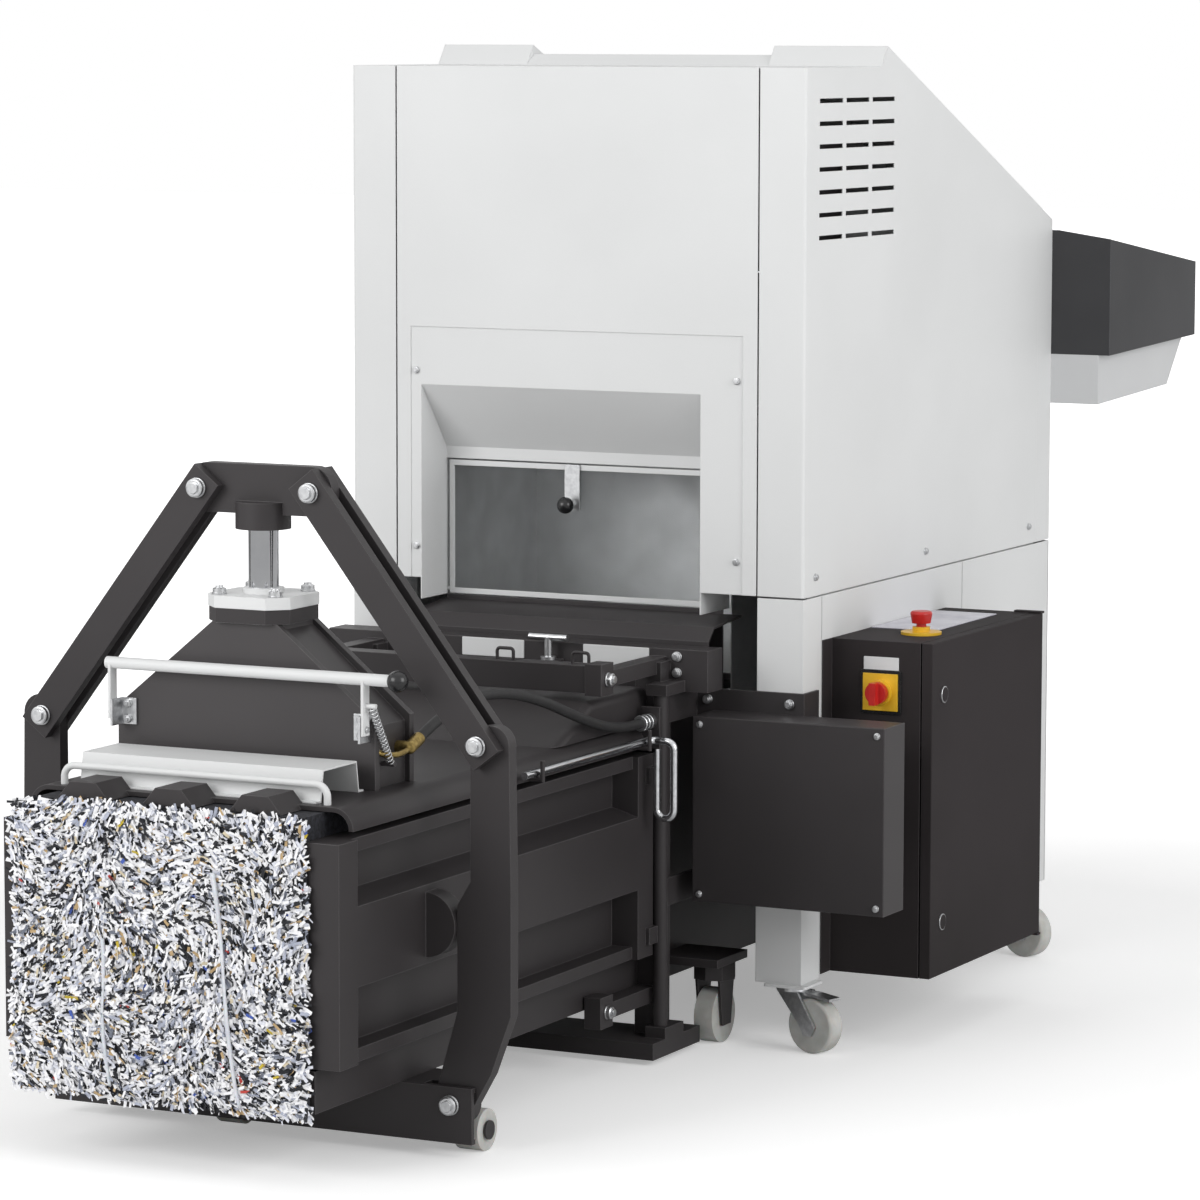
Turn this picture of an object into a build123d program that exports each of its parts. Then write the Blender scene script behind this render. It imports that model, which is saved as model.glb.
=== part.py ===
"""Shredder and channel baler in one machine: a white cutting tower stands over a black horizontal
press, whose outlet channel is squeezed by a hydraulic clamp.

Frame: origin on the floor under the middle of the machine, +X to the machine's right,
+Y from the bale outlet towards the feed tray, +Z up. Millimetres.
"""
import os
from math import atan2, cos, degrees, hypot, radians, sin, tan

from build123d import *

os.makedirs("parts", exist_ok=True)

# Sheet, plate and clearances that the whole machine shares
sheet = 2.0
plate = 12.0
seam = 3.0
fit = 0.3
overrun = 5.0

# Tower housing
tower_width = 914.0
tower_depth = 1122.0
rear_strip = 73.0
tower_top = 1759.0
tower_split = 820.0
flat_top = 334.0
hood_bevel = 27.0
hood_rise = 37.0
roof_rear = 1484.0
return_flange = 90.0
seat_flange = 30.0
corner_radius = 6.0
vent_rows = 7
vent_columns = 3
vent_length = 103.0
vent_height = 8.0
vent_pitch_y = 117.5
vent_pitch_z = 40.4
vent_centre_y = 226.5
vent_centre_z = 1579.0
lid_width = 498.0
lid_drop = 17.0
feed_shift = -19.0

# Window surround and inspection flap
surround_width = 672.0
surround_top = 1283.0
surround_lap = 15.0
recess_left = 315.0
recess_right = 252.0
recess_top = 1177.0
recess_depth = 100.0
recess_wall = 125.0
recess_low = 780.0
hood_lip_top = 1056.0
hood_lip_low = 1034.0
flap_gap = 6.0
flap_low = 782.0
flap_top = 1031.0
flap_thick = 12.0
flap_bar = 10.0
flap_lip = 4.0
flap_rebate = 6.0
flap_hinge_rise = 8.0
flap_pin_radius = 4.0
pane_thick = 5.0
tongue_width = 30.0
tongue_height = 84.0
tongue_thick = 4.0
knob_radius = 15.0
knob_stem_radius = 5.0
knob_stem_length = 20.0
knob_x = -52.0
knob_z = 959.0

# Sill under the window
sill_left = 320.0
sill_right = 290.0
sill_rear_z = 772.0
sill_break_y = -18.0
sill_break_z = 762.0
sill_front_y = -42.0
sill_front_z = 738.0
sill_low_z = 722.0
sill_thick = 4.0

# Stand
leg_width = 90.0
leg_depth = 80.0
leg_wall = 3.0
leg_low = 122.0
rear_leg_y = 1055.0
rail_inset = 10.0
rail_width = 50.0
rail_height = 60.0
post_depth = 50.0
cutter_beam_low = 1070.0
cutter_beam_height = 60.0
cutter_beam_front = 160.0
cutter_beam_gap = 240.0
skirt_low = 133.0
skirt_seam = 741.0
castor_plate_x = 84.0
castor_plate_y = 78.0
castor_plate_thick = 5.0

# Cutting unit
nip_height = 1212.0
roller_radius = 80.0
roller_core_radius = 70.0
roller_overlap = 5.0
roller_discs = 8
disc_gap = 1.5
shaft_radius = 25.0
cutter_width = 520.0
end_plate = 15.0
end_plate_low = 1040.0
end_plate_high = 1380.0
foot_width = 50.0
tie_radius = 15.0
gearbox_width = 80.0
gearbox_depth = 200.0
gearbox_height = 240.0
motor_radius = 80.0
motor_length = 250.0
shaft_reach = 40.0

# Feed tray at the rear
tray_width = 1160.0
tray_length = 495.0
tray_sheet = 3.0
tray_low_front = 1188.0
tray_low_rear = 1204.0
tray_top_front = 1417.0
tray_top_inner = 1433.0
tray_top_rear = 1354.0
tray_inner_width = 940.0
pan_inset = 23.0
pan_low_front = 1091.0
pan_low_rear = 1107.0
pan_top_length = 485.0
pan_low_length = 395.0
infeed_width = 500.0
infeed_low = 1175.0
infeed_high = 1400.0
feed_floor_width = 480.0
feed_floor_wall = 60.0
feed_floor_gap = 12.0

# Chute from the cutter to the press
liner_right = 256.0
liner_left = 319.0
liner_front = 127.0
mouth_front = 130.0
mouth_rear = 465.0
mouth_flange = 40.0
chute_front_top = 780.0

# Press box and outlet channel
channel_shift = 66.0
channel_width = 500.0
channel_floor_z = 127.0
channel_roof_z = 592.0
channel_floor_plate = 10.0
channel_front = 1309.0
press_front = 145.0
press_rear = 1150.0
post_width = 50.0
post_thick = 40.0
post_low = 23.0
post_high = 710.0
beam_half = 385.0
beam_thick = 60.0
beam_low = 655.0
beam_high = 730.0
plinth_half = 340.0
plinth_front = 230.0
plinth_rear = 80.0
plinth_tail_width = 78.0
plinth_tail_rear = 36.0
plinth_low = 10.0
plinth_high = 40.0
plinth_wall = 4.0
upstand_thick = 12.0
upstand_top = 186.0
clamp_block_half_y = 24.0
clamp_block_half_z = 28.0
clamp_block_outer = 303.0
clamp_block_width = 32.0
clamp_block_y = 341.0
clamp_block_top_z = 702.0
clamp_block_low_z = 114.0
clamp_arm_half = 14.0
clamp_bar_half_y = 20.0
clamp_bar_half_z = 24.0
bolt_radius = 11.0
bolt_height = 10.0
castor_bracket_reach = 384.0
castor_bracket_thick = 15.0
castor_bracket_front = 80.0
castor_bracket_rear = 48.0
castor_mount_radius = 40.0
castor_mount_top = 165.0

# Channel top
roof_half = 302.0
roof_plate = 8.0
roof_skirt_low = 563.0
roof_bend = 36.0
roof_front = 1245.0
rib_count = 3
rib_pitch = 160.0
rib_foot = 96.0
rib_crest = 48.0
rib_height = 20.0
rib_lap = 16.0
hook_radius = 4.0
hook_reach = 34.0
hook_rise = 36.0
hook_front_y = 653.0
hook_rear_y = 240.0
hook_z = 570.0
ramp_half = 284.0
ramp_front = 500.0
ramp_crest = 365.0
ramp_top = 664.0
ramp_sheet = 8.0
ramp_round = 16.0
hose_bracket_width = 36.0
hose_bracket_top = 636.0
hose_bracket_thick = 6.0

# Hinged channel walls
wall_plate = 10.0
wall_outer = 312.0
wall_low = 190.0
wall_high = 552.0
wall_rear = 175.0
wall_post = 60.0
wall_flange_outer = 300.0
wall_flange = 22.0
wall_rib_low = 315.0
wall_rib_high = 445.0
wall_rib_flare = 15.0
hinge_offset = 320.0
hinge_y = 160.0
hinge_radius = 13.0
hinge_low = 60.0
hinge_high = 655.0
hinge_pin_radius = 8.0
hinge_lug = 20.0
hinge_lug_half = 20.0
knuckle_height = 30.0
pad_z = 380.0
pad_half = 20.0

# Clamp over the outlet
clamp_y = 1003.0
arm_thick = 25.0
link_thick = 20.0
link_gap = 0.5
link_width = 56.0
yoke_half = 106.0
yoke_z = 1076.0
yoke_width = 82.0
yoke_reach = 136.0
yoke_round = 38.0
lower_half = 412.0
lower_z = 680.0
pivot_half = 359.0
pivot_z = 87.0
pin_radius = 12.0
open_pivot_clearance = 1.0
pin_head_radius = 15.0
pin_head = 10.0
arm_inner_low = 337.0
arm_inner_mid = 366.0
arm_inner_high = 390.0
arm_outer_low = 427.0
arm_outer_mid = 464.0
arm_outer_high = 460.0
arm_top = 712.0
arm_step_low = 415.0
arm_step_high = 455.0
arm_waist = 240.0
arm_shoulder = 140.0
arm_end_radius = 38.0
arm_round = 32.0
collar_radius = 46.0
collar_low = 1011.0
rod_radius = 25.0
rod_inside = 190.0
rod_bore_spare = 60.0

# Clamp cylinder on the channel top
base_half = 243.0
base_shoulder = 712.0
base_top = 861.0
base_top_half = 61.0
base_front = 1066.0
base_rear = 935.0
base_face = 14.0
base_inset = 10.0
ring_inset = 2.0
flange_half = 78.0
flange_corner = 30.0
flange_low = 885.0
flange_high = 905.0
gland_radius = 34.0
gland_height = 9.0
flange_bolt_pitch = 106.0
flange_bolt_radius = 11.0
flange_bolt_height = 9.0

# Cross beam under the outlet
cross_half = 399.0
cross_low = 24.0
cross_high = 117.0
cross_front = 1028.0
cross_depth = 122.0
cross_wall = 8.0
cross_slot_start = 305.0
cross_box_half = 335.0
cross_tail_half = 391.0
cross_tail_low = 74.0
roller_left = -88.0
roller_right = 366.0
front_roller_radius = 35.0
front_roller_width = 45.0
front_axle_radius = 8.0
axle_washer = 4.0
cheek = 6.0
cheek_top = 62.0

# Hand lever on the clamp cylinder
lever_y = 1091.0
lever_z = 785.0
lever_pivot_z = 703.0
lever_half = 236.0
lever_left_end = 248.0
lever_right_end = 290.0
lever_radius = 10.0
lever_leg_width = 20.0
lever_leg_thick = 5.0
lever_ball_radius = 17.0
lever_pin_radius = 5.0
bracket_sheet = 4.0
bracket_height = 44.0
bracket_face = 30.0
bracket_nose = 12.0
spring_radius = 7.0
spring_stud_radius = 4.0
spring_stud_length = 16.0
spring_top_z = 742.0
spring_low_y = 1028.0
spring_low_z = 640.0

# Strap guides on the channel top
guide_half = 246.0
guide_y = 1228.0
guide_z = 632.0
guide_radius = 6.0
guide_bend = 20.0
strap_half = 225.0
strap_front = 1205.0
strap_rear = 1095.0
strap_height = 52.0
strap_lean = 8.0
strap_foot = 14.0
strap_sheet = 3.0

# Pressure hose and its fittings
hose_radius = 9.0
hose_route = [
    (190.0, -941.0, 672.0),
    (191.0, -868.0, 699.0),
    (197.0, -770.0, 720.0),
    (208.0, -665.0, 716.0),
    (222.0, -560.0, 690.0),
    (234.0, -455.0, 650.0),
    (241.0, -365.0, 622.0),
    (246.0, -290.0, 611.0),
    (246.0, -229.0, 611.0),
]
bend_share = 0.45
elbow_radius = 11.0
elbow_length = 34.0
ferrule_radius = 13.0
ferrule_length = 42.0

# Strapping needle
needle_radius = 7.0
needle_front_y = 697.0
needle_rear_y = 215.0
needle_loop_low = 444.0
needle_loop_shift = 15.0
needle_loop_width = 33.0
needle_bend = 16.0

# Main ram and cylinder
ram_face_y = 520.0
ram_length = 430.0
ram_plate = 20.0
ram_wall = 10.0
ram_rod_radius = 30.0
barrel_radius = 65.0
bore_radius = 50.0
barrel_front = 600.0
barrel_gland = 20.0
gland_collar_radius = 75.0
piston_length = 30.0
piston_y = 1060.0
press_axis_z = 363.0

# Locking handle on the outlet beam
lock_x = 80.0
lock_y = 24.0
lock_lug_half = 18.0
lock_lug_z = 700.0
lock_lug_thick = 20.0
lock_grip_z = 741.0
lock_stem_radius = 7.0
lock_bar_length = 76.0
lock_bar_radius = 6.0

# Cover over the valve block, beside the outlet
cover_left = 285.0
cover_right = 656.0
cover_front = 95.0
cover_low = 277.0
cover_high = 611.0
cover_flange = 18.0
cover_round = 1.5
strap_band = 5.0
strap_band_high = 50.0
strap_band_top_z = 600.0
strap_band_low_z = 270.0
strap_band_reach = 60.0

# Control cabinet
cabinet_width = 175.0
cabinet_front = 123.0
cabinet_length = 537.0
cabinet_low = 129.0
cabinet_high = 737.0
door_gap = 3.0
door_depth = 20.0
door_pin_radius = 4.0
door_pin_length = 8.0
door_pivot_inset = 6.0
door_lug = 4.0
door_lug_half = 8.0
door_lug_reach = 30.0
door_round = 1.5
lock_radius = 13.5
lock_proud = 3.0
lock_inset = 54.0
lock_low = 226.0
lock_high = 640.0
gear_plate_margin = 40.0
gear_plate = 3.0
gear_rows = 3
gear_depth = 70.0
gear_height = 110.0
switch_size = 67.0
switch_thick = 6.0
switch_x = 556.0
switch_z = 645.0
switch_boss_radius = 23.0
switch_boss = 10.0
switch_knob_radius = 20.0
switch_knob_depth = 12.0
switch_lever_width = 12.0
switch_lever_height = 16.0
switch_spindle = 4.0
estop_x = 579.0
estop_y = 251.0
estop_disc_radius = 37.0
estop_disc = 5.0
estop_neck_radius = 16.0
estop_neck = 9.0
estop_head_radius = 21.0
estop_foot_radius = 17.0
estop_rim = 5.0
estop_head = 22.0
estop_stem_radius = 9.0
estop_stem = 12.0
estop_travel = 6.0

# Castors
wheel_radius = 50.0
wheel_width = 36.0
wheel_bore = 10.0
wheel_round = 6.0
axle_radius = 9.7
fork_trail = 52.0
fork_heading = -15.0
fork_sheet = 5.0
fork_crown = 8.0
fork_crown_radius = 30.0
fork_foot = 17.0
fork_side_gap = 2.0
swivel_shift_x = 18.0
swivel_shift_y = -14.0
brake_reach = 44.0
brake_width = 30.0
brake_thick = 5.0
baler_castor_right = 341.0
baler_castor_left = 222.0
baler_castor_y = -24.0

# Bale
bale_front = 1340.0
bale_rear = 700.0
bale_bulge = 12.0
bale_spill = 44.0
bale_sag = 22.0
bale_clearance = 2.0
bale_round = 24.0

# Place of the machine: the middle of its length and width over the origin
reach_right = tower_width / 2 + cabinet_width + door_gap + door_depth + lock_proud
reach_left = tray_width / 2
reach_rear = tower_depth + rear_strip + tray_length
tx = (reach_left - reach_right) / 2
fy = (bale_front - reach_rear) / 2
cx = tx - channel_shift
ay = fy - clamp_y
roof_slope = (tower_top + hood_rise - roof_rear) / (tower_depth - flat_top - hood_bevel)
tower_back = tower_depth + rear_strip
channel_half = channel_width / 2
channel_top_z = channel_roof_z + roof_plate
press_half = channel_half + plate
right_wall = tx + tower_width / 2
cheek_gap = wheel_width / 2 + fork_side_gap
feed_x = tx + feed_shift


def span(a, b):
    """Two limits in rising order."""
    return (min(a, b), max(a, b))


def slab(x, y, z, mode=Mode.ADD):
    """A rectangular plate or bar between two limits on each axis."""
    middle = ((x[0] + x[1]) / 2, (y[0] + y[1]) / 2, (z[0] + z[1]) / 2)
    with Locations(middle):
        Box(x[1] - x[0], y[1] - y[0], z[1] - z[0], mode=mode)


def side_plane(x):
    """Plane across the machine, drawn in (Y, Z)."""
    return Plane(origin=(x, 0, 0), x_dir=(0, 1, 0), z_dir=(1, 0, 0))


def front_plane(y):
    """Plane along the machine, drawn in (X, Z) and facing the outlet."""
    return Plane(origin=(0, y, 0), x_dir=(1, 0, 0), z_dir=(0, -1, 0))


def prism(plane, points, depth, mode=Mode.ADD):
    """A flat outline extruded along its plane's normal."""
    with BuildSketch(plane) as outline:
        with BuildLine():
            Polyline(*points, close=True)
        make_face()
    extrude(outline.sketch, amount=depth, mode=mode)


def folded(plane, points, thickness, depth):
    """A sheet folded along an open outline, with its thickness to the left of the way along it."""
    line = [Vector(*point) for point in points]
    ways = [(b - a).normalized() for a, b in zip(line, line[1:])]
    normals = [Vector(-way.Y, way.X) for way in ways]
    mitres = [normals[0]]
    for before, after in zip(normals, normals[1:]):
        mitres.append((before + after) / (1 + before.dot(after)))
    mitres.append(normals[-1])
    inner = [point + mitre * thickness for point, mitre in zip(line, mitres)]
    outline = [(point.X, point.Y) for point in line + inner[::-1]]
    prism(plane, outline, depth)


def bar(start, way, length, radius, mode=Mode.ADD):
    """A round bar from a point along a direction."""
    with Locations(Plane(origin=start, z_dir=way)):
        Cylinder(radius, length, align=(Align.CENTER, Align.CENTER, Align.MIN), mode=mode)


def hex_head(start, way, height, radius):
    """A hexagon bolt head standing on a face."""
    with BuildSketch(Plane(origin=start, z_dir=way)) as outline:
        RegularPolygon(radius, 6)
    extrude(outline.sketch, amount=height)


def save(builder, name):
    """Label a finished piece and write it."""
    builder.part.label = name
    export_step(builder.part, f"parts/{name}.step")


sides = (("right", 1), ("left", -1))

# Tower side panels: one folded sheet each, with front and top returns and vent slots
side_profile = [
    (fy, tower_split),
    (fy + tower_depth, tower_split),
    (fy + tower_depth, roof_rear),
    (fy + flat_top + hood_bevel, tower_top + hood_rise),
    (fy + flat_top, tower_top),
    (fy, tower_top),
]
for side_name, side in sides:
    outer = tx + side * tower_width / 2
    inner_x = outer - side * sheet
    with BuildPart() as side_panel:
        prism(side_plane(min(outer, inner_x)), side_profile, sheet)
        returns = span(outer, outer - side * return_flange)
        slab(returns, (fy, fy + sheet), (tower_split, tower_top))
        slab(returns, (fy, fy + flat_top), (tower_top - sheet, tower_top))
        seat = span(outer, outer - side * seat_flange)
        slab(seat, (fy, fy + tower_depth), (tower_split, tower_split + sheet))
        front_edges = side_panel.edges().filter_by(Axis.Z).group_by(Axis.Y)[0].sort_by(Axis.X)
        fillet(front_edges[-1 if side > 0 else 0], radius=min(corner_radius, return_flange / 2))
        with BuildSketch(side_plane(min(outer, inner_x))):
            with Locations((fy + vent_centre_y, vent_centre_z)):
                with GridLocations(vent_pitch_y, vent_pitch_z, vent_columns, vent_rows):
                    Rectangle(vent_length, vent_height)
        extrude(amount=sheet, mode=Mode.SUBTRACT)
    save(side_panel, f"side_panel_{side_name}")

# Front panel: folded back over the top, cut out round the window surround
panel_half = tower_width / 2 - return_flange - seam
with BuildPart() as front_panel:
    panel_line = [(fy, tower_split), (fy, tower_top), (fy + flat_top, tower_top)]
    folded(side_plane(tx - panel_half), panel_line[::-1], sheet, 2 * panel_half)
    cut_out = (tx - surround_width / 2, tx + surround_width / 2)
    slab(cut_out, (fy - overrun, fy + overrun), (tower_split - overrun, surround_top), Mode.SUBTRACT)
save(front_panel, "front_panel")

# Window surround: lapped behind the front panel, with the recess walls and the sloping hood
lap_half = surround_width / 2 + surround_lap
recess_x = (tx - recess_left, tx + recess_right)
lap_y = fy + sheet
with BuildPart() as window_surround:
    slab((tx - lap_half, tx + lap_half), (lap_y, lap_y + sheet), (tower_split, surround_top + surround_lap))
    slab(recess_x, (fy, lap_y + overrun), (tower_split - overrun, recess_top), Mode.SUBTRACT)
    hood_line = [(lap_y, recess_top), (fy + recess_depth, hood_lip_top), (fy + recess_depth, hood_lip_low)]
    folded(side_plane(recess_x[0]), hood_line, sheet, recess_x[1] - recess_x[0])
    for wall_x in (span(recess_x[0], recess_x[0] - sheet), span(recess_x[1], recess_x[1] + sheet)):
        slab(wall_x, (lap_y, fy + recess_wall), (recess_low, recess_top))
    flap_axis = (fy + recess_depth + flap_thick / 2, flap_low + flap_hinge_rise)
    pin_hole = flap_pin_radius + fit
    bar((recess_x[0] - overrun, *flap_axis), (1, 0, 0), 2 * overrun, pin_hole, Mode.SUBTRACT)
    bar((recess_x[1] - overrun, *flap_axis), (1, 0, 0), 2 * overrun, pin_hole, Mode.SUBTRACT)
save(window_surround, "window_surround")

# Inspection flap: a frame with a rebate for the pane, hinge pins at its foot and a knob tongue
flap_x = (recess_x[0] + flap_gap, recess_x[1] - flap_gap)
flap_y = (fy + recess_depth, fy + recess_depth + flap_thick)
rebate_y = flap_y[0] + flap_lip
light_x = (flap_x[0] + flap_bar, flap_x[1] - flap_bar)
light_z = (flap_low + flap_bar, flap_top - flap_bar)
rebate_x = (light_x[0] - flap_rebate, light_x[1] + flap_rebate)
rebate_z = (light_z[0] - flap_rebate, light_z[1] + flap_rebate)
tongue_x = (tx + knob_x - tongue_width / 2, tx + knob_x + tongue_width / 2)
with BuildPart() as flap_frame:
    slab(flap_x, flap_y, (flap_low, flap_top))
    slab(light_x, (flap_y[0] - overrun, flap_y[1] + overrun), light_z, Mode.SUBTRACT)
    slab(rebate_x, (rebate_y, flap_y[1] + overrun), rebate_z, Mode.SUBTRACT)
    pin_length = flap_gap + sheet
    bar((flap_x[0], *flap_axis), (-1, 0, 0), pin_length, flap_pin_radius)
    bar((flap_x[1], *flap_axis), (1, 0, 0), pin_length, flap_pin_radius)
    slab(tongue_x, (flap_y[0] - tongue_thick, flap_y[0]), (flap_top - tongue_height, flap_top))
    knob_seat = (tx + knob_x, flap_y[0] - tongue_thick, knob_z)
    bar(knob_seat, (0, -1, 0), knob_stem_length, knob_stem_radius)
    with Locations((knob_seat[0], knob_seat[1] - knob_stem_length - knob_radius / 2, knob_z)):
        Sphere(knob_radius)
save(flap_frame, "flap_frame")

with BuildPart() as flap_pane:
    pane_x = (rebate_x[0] + fit, rebate_x[1] - fit)
    slab(pane_x, (rebate_y, rebate_y + pane_thick), (rebate_z[0] + fit, rebate_z[1] - fit))
save(flap_pane, "flap_pane")

# Sill: a folded black sheet that steps down from the window to the outlet beam
with BuildPart() as sill:
    sill_line = [
        (fy + recess_depth - 2 * fit, sill_rear_z),
        (fy + sill_break_y, sill_break_z),
        (fy + sill_front_y, sill_front_z),
        (fy + sill_front_y, sill_low_z),
    ]
    folded(side_plane(tx - sill_left), sill_line[::-1], -sill_thick, sill_left + sill_right)
save(sill, "sill")

# Roof: two raised hoods with a lower lid between them
lid_x = (feed_x - lid_width / 2, feed_x + lid_width / 2)
hood_line = [
    (fy + tower_depth, roof_rear),
    (fy + flat_top + hood_bevel, tower_top + hood_rise),
    (fy + flat_top, tower_top),
]
lid_line = [
    (fy + tower_depth, roof_rear - lid_drop),
    (fy + flat_top + hood_bevel, tower_top + hood_rise - lid_drop),
    (fy + flat_top, tower_top),
]
hood_end = [
    hood_line[0],
    hood_line[1],
    hood_line[2],
    (lid_line[1][0], lid_line[1][1] - sheet / 2),
    (lid_line[0][0], lid_line[0][1] - sheet / 2),
]
with BuildPart() as roof:
    inside = (tx - tower_width / 2 + sheet, tx + tower_width / 2 - sheet)
    for hood_x in ((inside[0], lid_x[0]), (lid_x[1], inside[1])):
        folded(side_plane(hood_x[0]), hood_line, sheet, hood_x[1] - hood_x[0])
    prism(side_plane(lid_x[0] - sheet), hood_end, sheet)
    prism(side_plane(lid_x[1]), hood_end, sheet)
    folded(side_plane(lid_x[0] - sheet), lid_line, sheet, lid_width + 2 * sheet)
save(roof, "roof")

# Rear panel: a shallow tray that closes the tower, with the infeed opening
rear_y = (fy + tower_depth, fy + tower_back)
infeed_x = (feed_x - infeed_width / 2, feed_x + infeed_width / 2)
with BuildPart() as rear_panel:
    rear_top = roof_rear - rear_strip * roof_slope
    outline = [
        (rear_y[0], tower_split),
        (rear_y[1], tower_split),
        (rear_y[1], rear_top),
        (rear_y[0], roof_rear),
    ]
    hollow = [
        (rear_y[0], tower_split + sheet),
        (rear_y[1] - sheet, tower_split + sheet),
        (rear_y[1] - sheet, rear_top - sheet),
        (rear_y[0], roof_rear - sheet),
    ]
    prism(side_plane(tx - tower_width / 2), outline, tower_width)
    prism(side_plane(tx - tower_width / 2 + sheet), hollow, tower_width - 2 * sheet, Mode.SUBTRACT)
    infeed_y = (rear_y[1] - overrun, rear_y[1] + overrun)
    slab(infeed_x, infeed_y, (infeed_low, infeed_high), Mode.SUBTRACT)
save(rear_panel, "rear_panel")

# Stand: four legs with castor plates, rails under the tower, posts and beams for the cutting unit
leg_y = ((fy, fy + leg_depth), (fy + rear_leg_y, fy + rear_leg_y + leg_depth))
beam_y = []
for beam_start in (cutter_beam_front, cutter_beam_front + post_depth + cutter_beam_gap):
    beam_y.append((fy + beam_start, fy + beam_start + post_depth))
beam_z = (cutter_beam_low, cutter_beam_low + cutter_beam_height)
swivels = {}
with BuildPart() as stand_frame:
    for side_name, side in sides:
        outer = tx + side * tower_width / 2
        post_x = span(outer - side * (seat_flange + fit), outer - side * (rail_inset + rail_width))
        rail_x = span(outer - side * rail_inset, outer - side * (rail_inset + rail_width))
        for end_name, y, inset in zip(("front", "rear"), leg_y, (0, rail_inset)):
            leg_x = span(outer - side * inset, outer - side * (inset + leg_width))
            slab(leg_x, y, (leg_low, tower_split - seam))
            hollow_x = (leg_x[0] + leg_wall, leg_x[1] - leg_wall)
            hollow_y = (y[0] + leg_wall, y[1] - leg_wall)
            slab(hollow_x, hollow_y, (leg_low - overrun, tower_split), Mode.SUBTRACT)
            swivel_x = (leg_x[0] + leg_x[1]) / 2 + side * swivel_shift_x
            swivel_y = (y[0] + y[1]) / 2 + swivel_shift_y
            swivels[f"{end_name}_{side_name}"] = (swivel_x, swivel_y)
            with BuildSketch(Plane.XY.offset(leg_low - castor_plate_thick)):
                with Locations((swivel_x, swivel_y)):
                    RectangleRounded(castor_plate_x, castor_plate_y, corner_radius)
            extrude(amount=castor_plate_thick)
        rail_z = (tower_split - rail_height, tower_split)
        slab(rail_x, (fy + leg_depth / 2, fy + rear_leg_y + leg_depth / 2), rail_z)
        for y in beam_y:
            slab(post_x, y, (tower_split, beam_z[1]))
    rail_inner = tower_width / 2 - rail_inset
    post_inner = tower_width / 2 - seat_flange - fit
    for y in beam_y:
        slab((tx - post_inner, tx + post_inner), y, beam_z)
    rear_rail_y = (fy + rear_leg_y, fy + rear_leg_y + rail_width)
    slab((tx - rail_inner, tx + rail_inner), rear_rail_y, (tower_split - rail_height, tower_split))
save(stand_frame, "stand_frame")

# Skirt: white panels hung on the stand below the tower
skirt_z = (skirt_low, tower_split - seam)
with BuildPart() as skirt_panels:
    for side_name, side in sides:
        outer = tx + side * tower_width / 2
        skirt_x = span(outer, outer - side * sheet)
        rail_face = span(outer, outer - side * rail_inset)
        front_length = (fy + leg_depth + seam, fy + skirt_seam)
        rear_length = (fy + skirt_seam + seam, fy + tower_back - sheet - seam)
        for length in (front_length, rear_length):
            slab(skirt_x, length, skirt_z)
            reach = min(length[1], fy + rear_leg_y)
            slab(rail_face, (length[0], reach), (skirt_z[1] - sheet, skirt_z[1]))
    back_y = (fy + tower_back - sheet, fy + tower_back)
    slab((tx - tower_width / 2, tx + tower_width / 2), back_y, skirt_z)
    lip_half = rail_inner - leg_width - fit
    slab((tx - lip_half, tx + lip_half), (rear_rail_y[1], back_y[1]), (skirt_z[1] - sheet, skirt_z[1]))
save(skirt_panels, "skirt_panels")

# Cutting unit: end plates, ties, two interleaved rollers, gearbox and motor
cutter_y = (beam_y[0][1] + beam_y[1][0]) / 2
roller_gap = 2 * roller_radius - roller_overlap
upper_z = nip_height + roller_gap / 2
lower_roller_z = nip_height - roller_gap / 2
cutter_faces = (feed_x - cutter_width / 2, feed_x + cutter_width / 2)
plate_y = (beam_y[0][1] + fit, beam_y[1][0] - fit)
with BuildPart() as cutter_frame:
    for face, side in ((cutter_faces[1], 1), (cutter_faces[0], -1)):
        slab(span(face, face + side * end_plate), plate_y, (end_plate_low, end_plate_high))
        for foot_y in ((beam_y[0][0], plate_y[0] + end_plate), (plate_y[1] - end_plate, beam_y[1][1])):
            slab(span(face, face + side * foot_width), foot_y, (beam_z[1], beam_z[1] + end_plate))
        for shaft_z in (upper_z, lower_roller_z):
            hole = (face - side * overrun, cutter_y, shaft_z)
            bar(hole, (side, 0, 0), end_plate + 2 * overrun, shaft_radius + fit, Mode.SUBTRACT)
    tie_z = end_plate_high - 2 * tie_radius
    for tie_y in (plate_y[0] + 2 * tie_radius, plate_y[1] - 2 * tie_radius):
        bar((cutter_faces[0], tie_y, tie_z), (1, 0, 0), cutter_width, tie_radius)
save(cutter_frame, "cutter_frame")

disc_pitch = cutter_width / roller_discs
for roller_name, shaft_z, phase in (("upper", upper_z, 0), ("lower", lower_roller_z, 1)):
    shaft_start = (cutter_faces[0] - end_plate, cutter_y, shaft_z)
    with BuildPart() as cutting_roller:
        bar(shaft_start, (1, 0, 0), cutter_width + 2 * end_plate + shaft_reach, shaft_radius)
        core_start = (cutter_faces[0] + disc_gap, cutter_y, shaft_z)
        bar(core_start, (1, 0, 0), cutter_width - 2 * disc_gap, roller_core_radius)
        for disc in range(phase, roller_discs, 2):
            disc_start = (cutter_faces[0] + disc * disc_pitch + disc_gap, cutter_y, shaft_z)
            bar(disc_start, (1, 0, 0), disc_pitch - 2 * disc_gap, roller_radius)
    save(cutting_roller, f"cutting_roller_{roller_name}")

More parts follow.
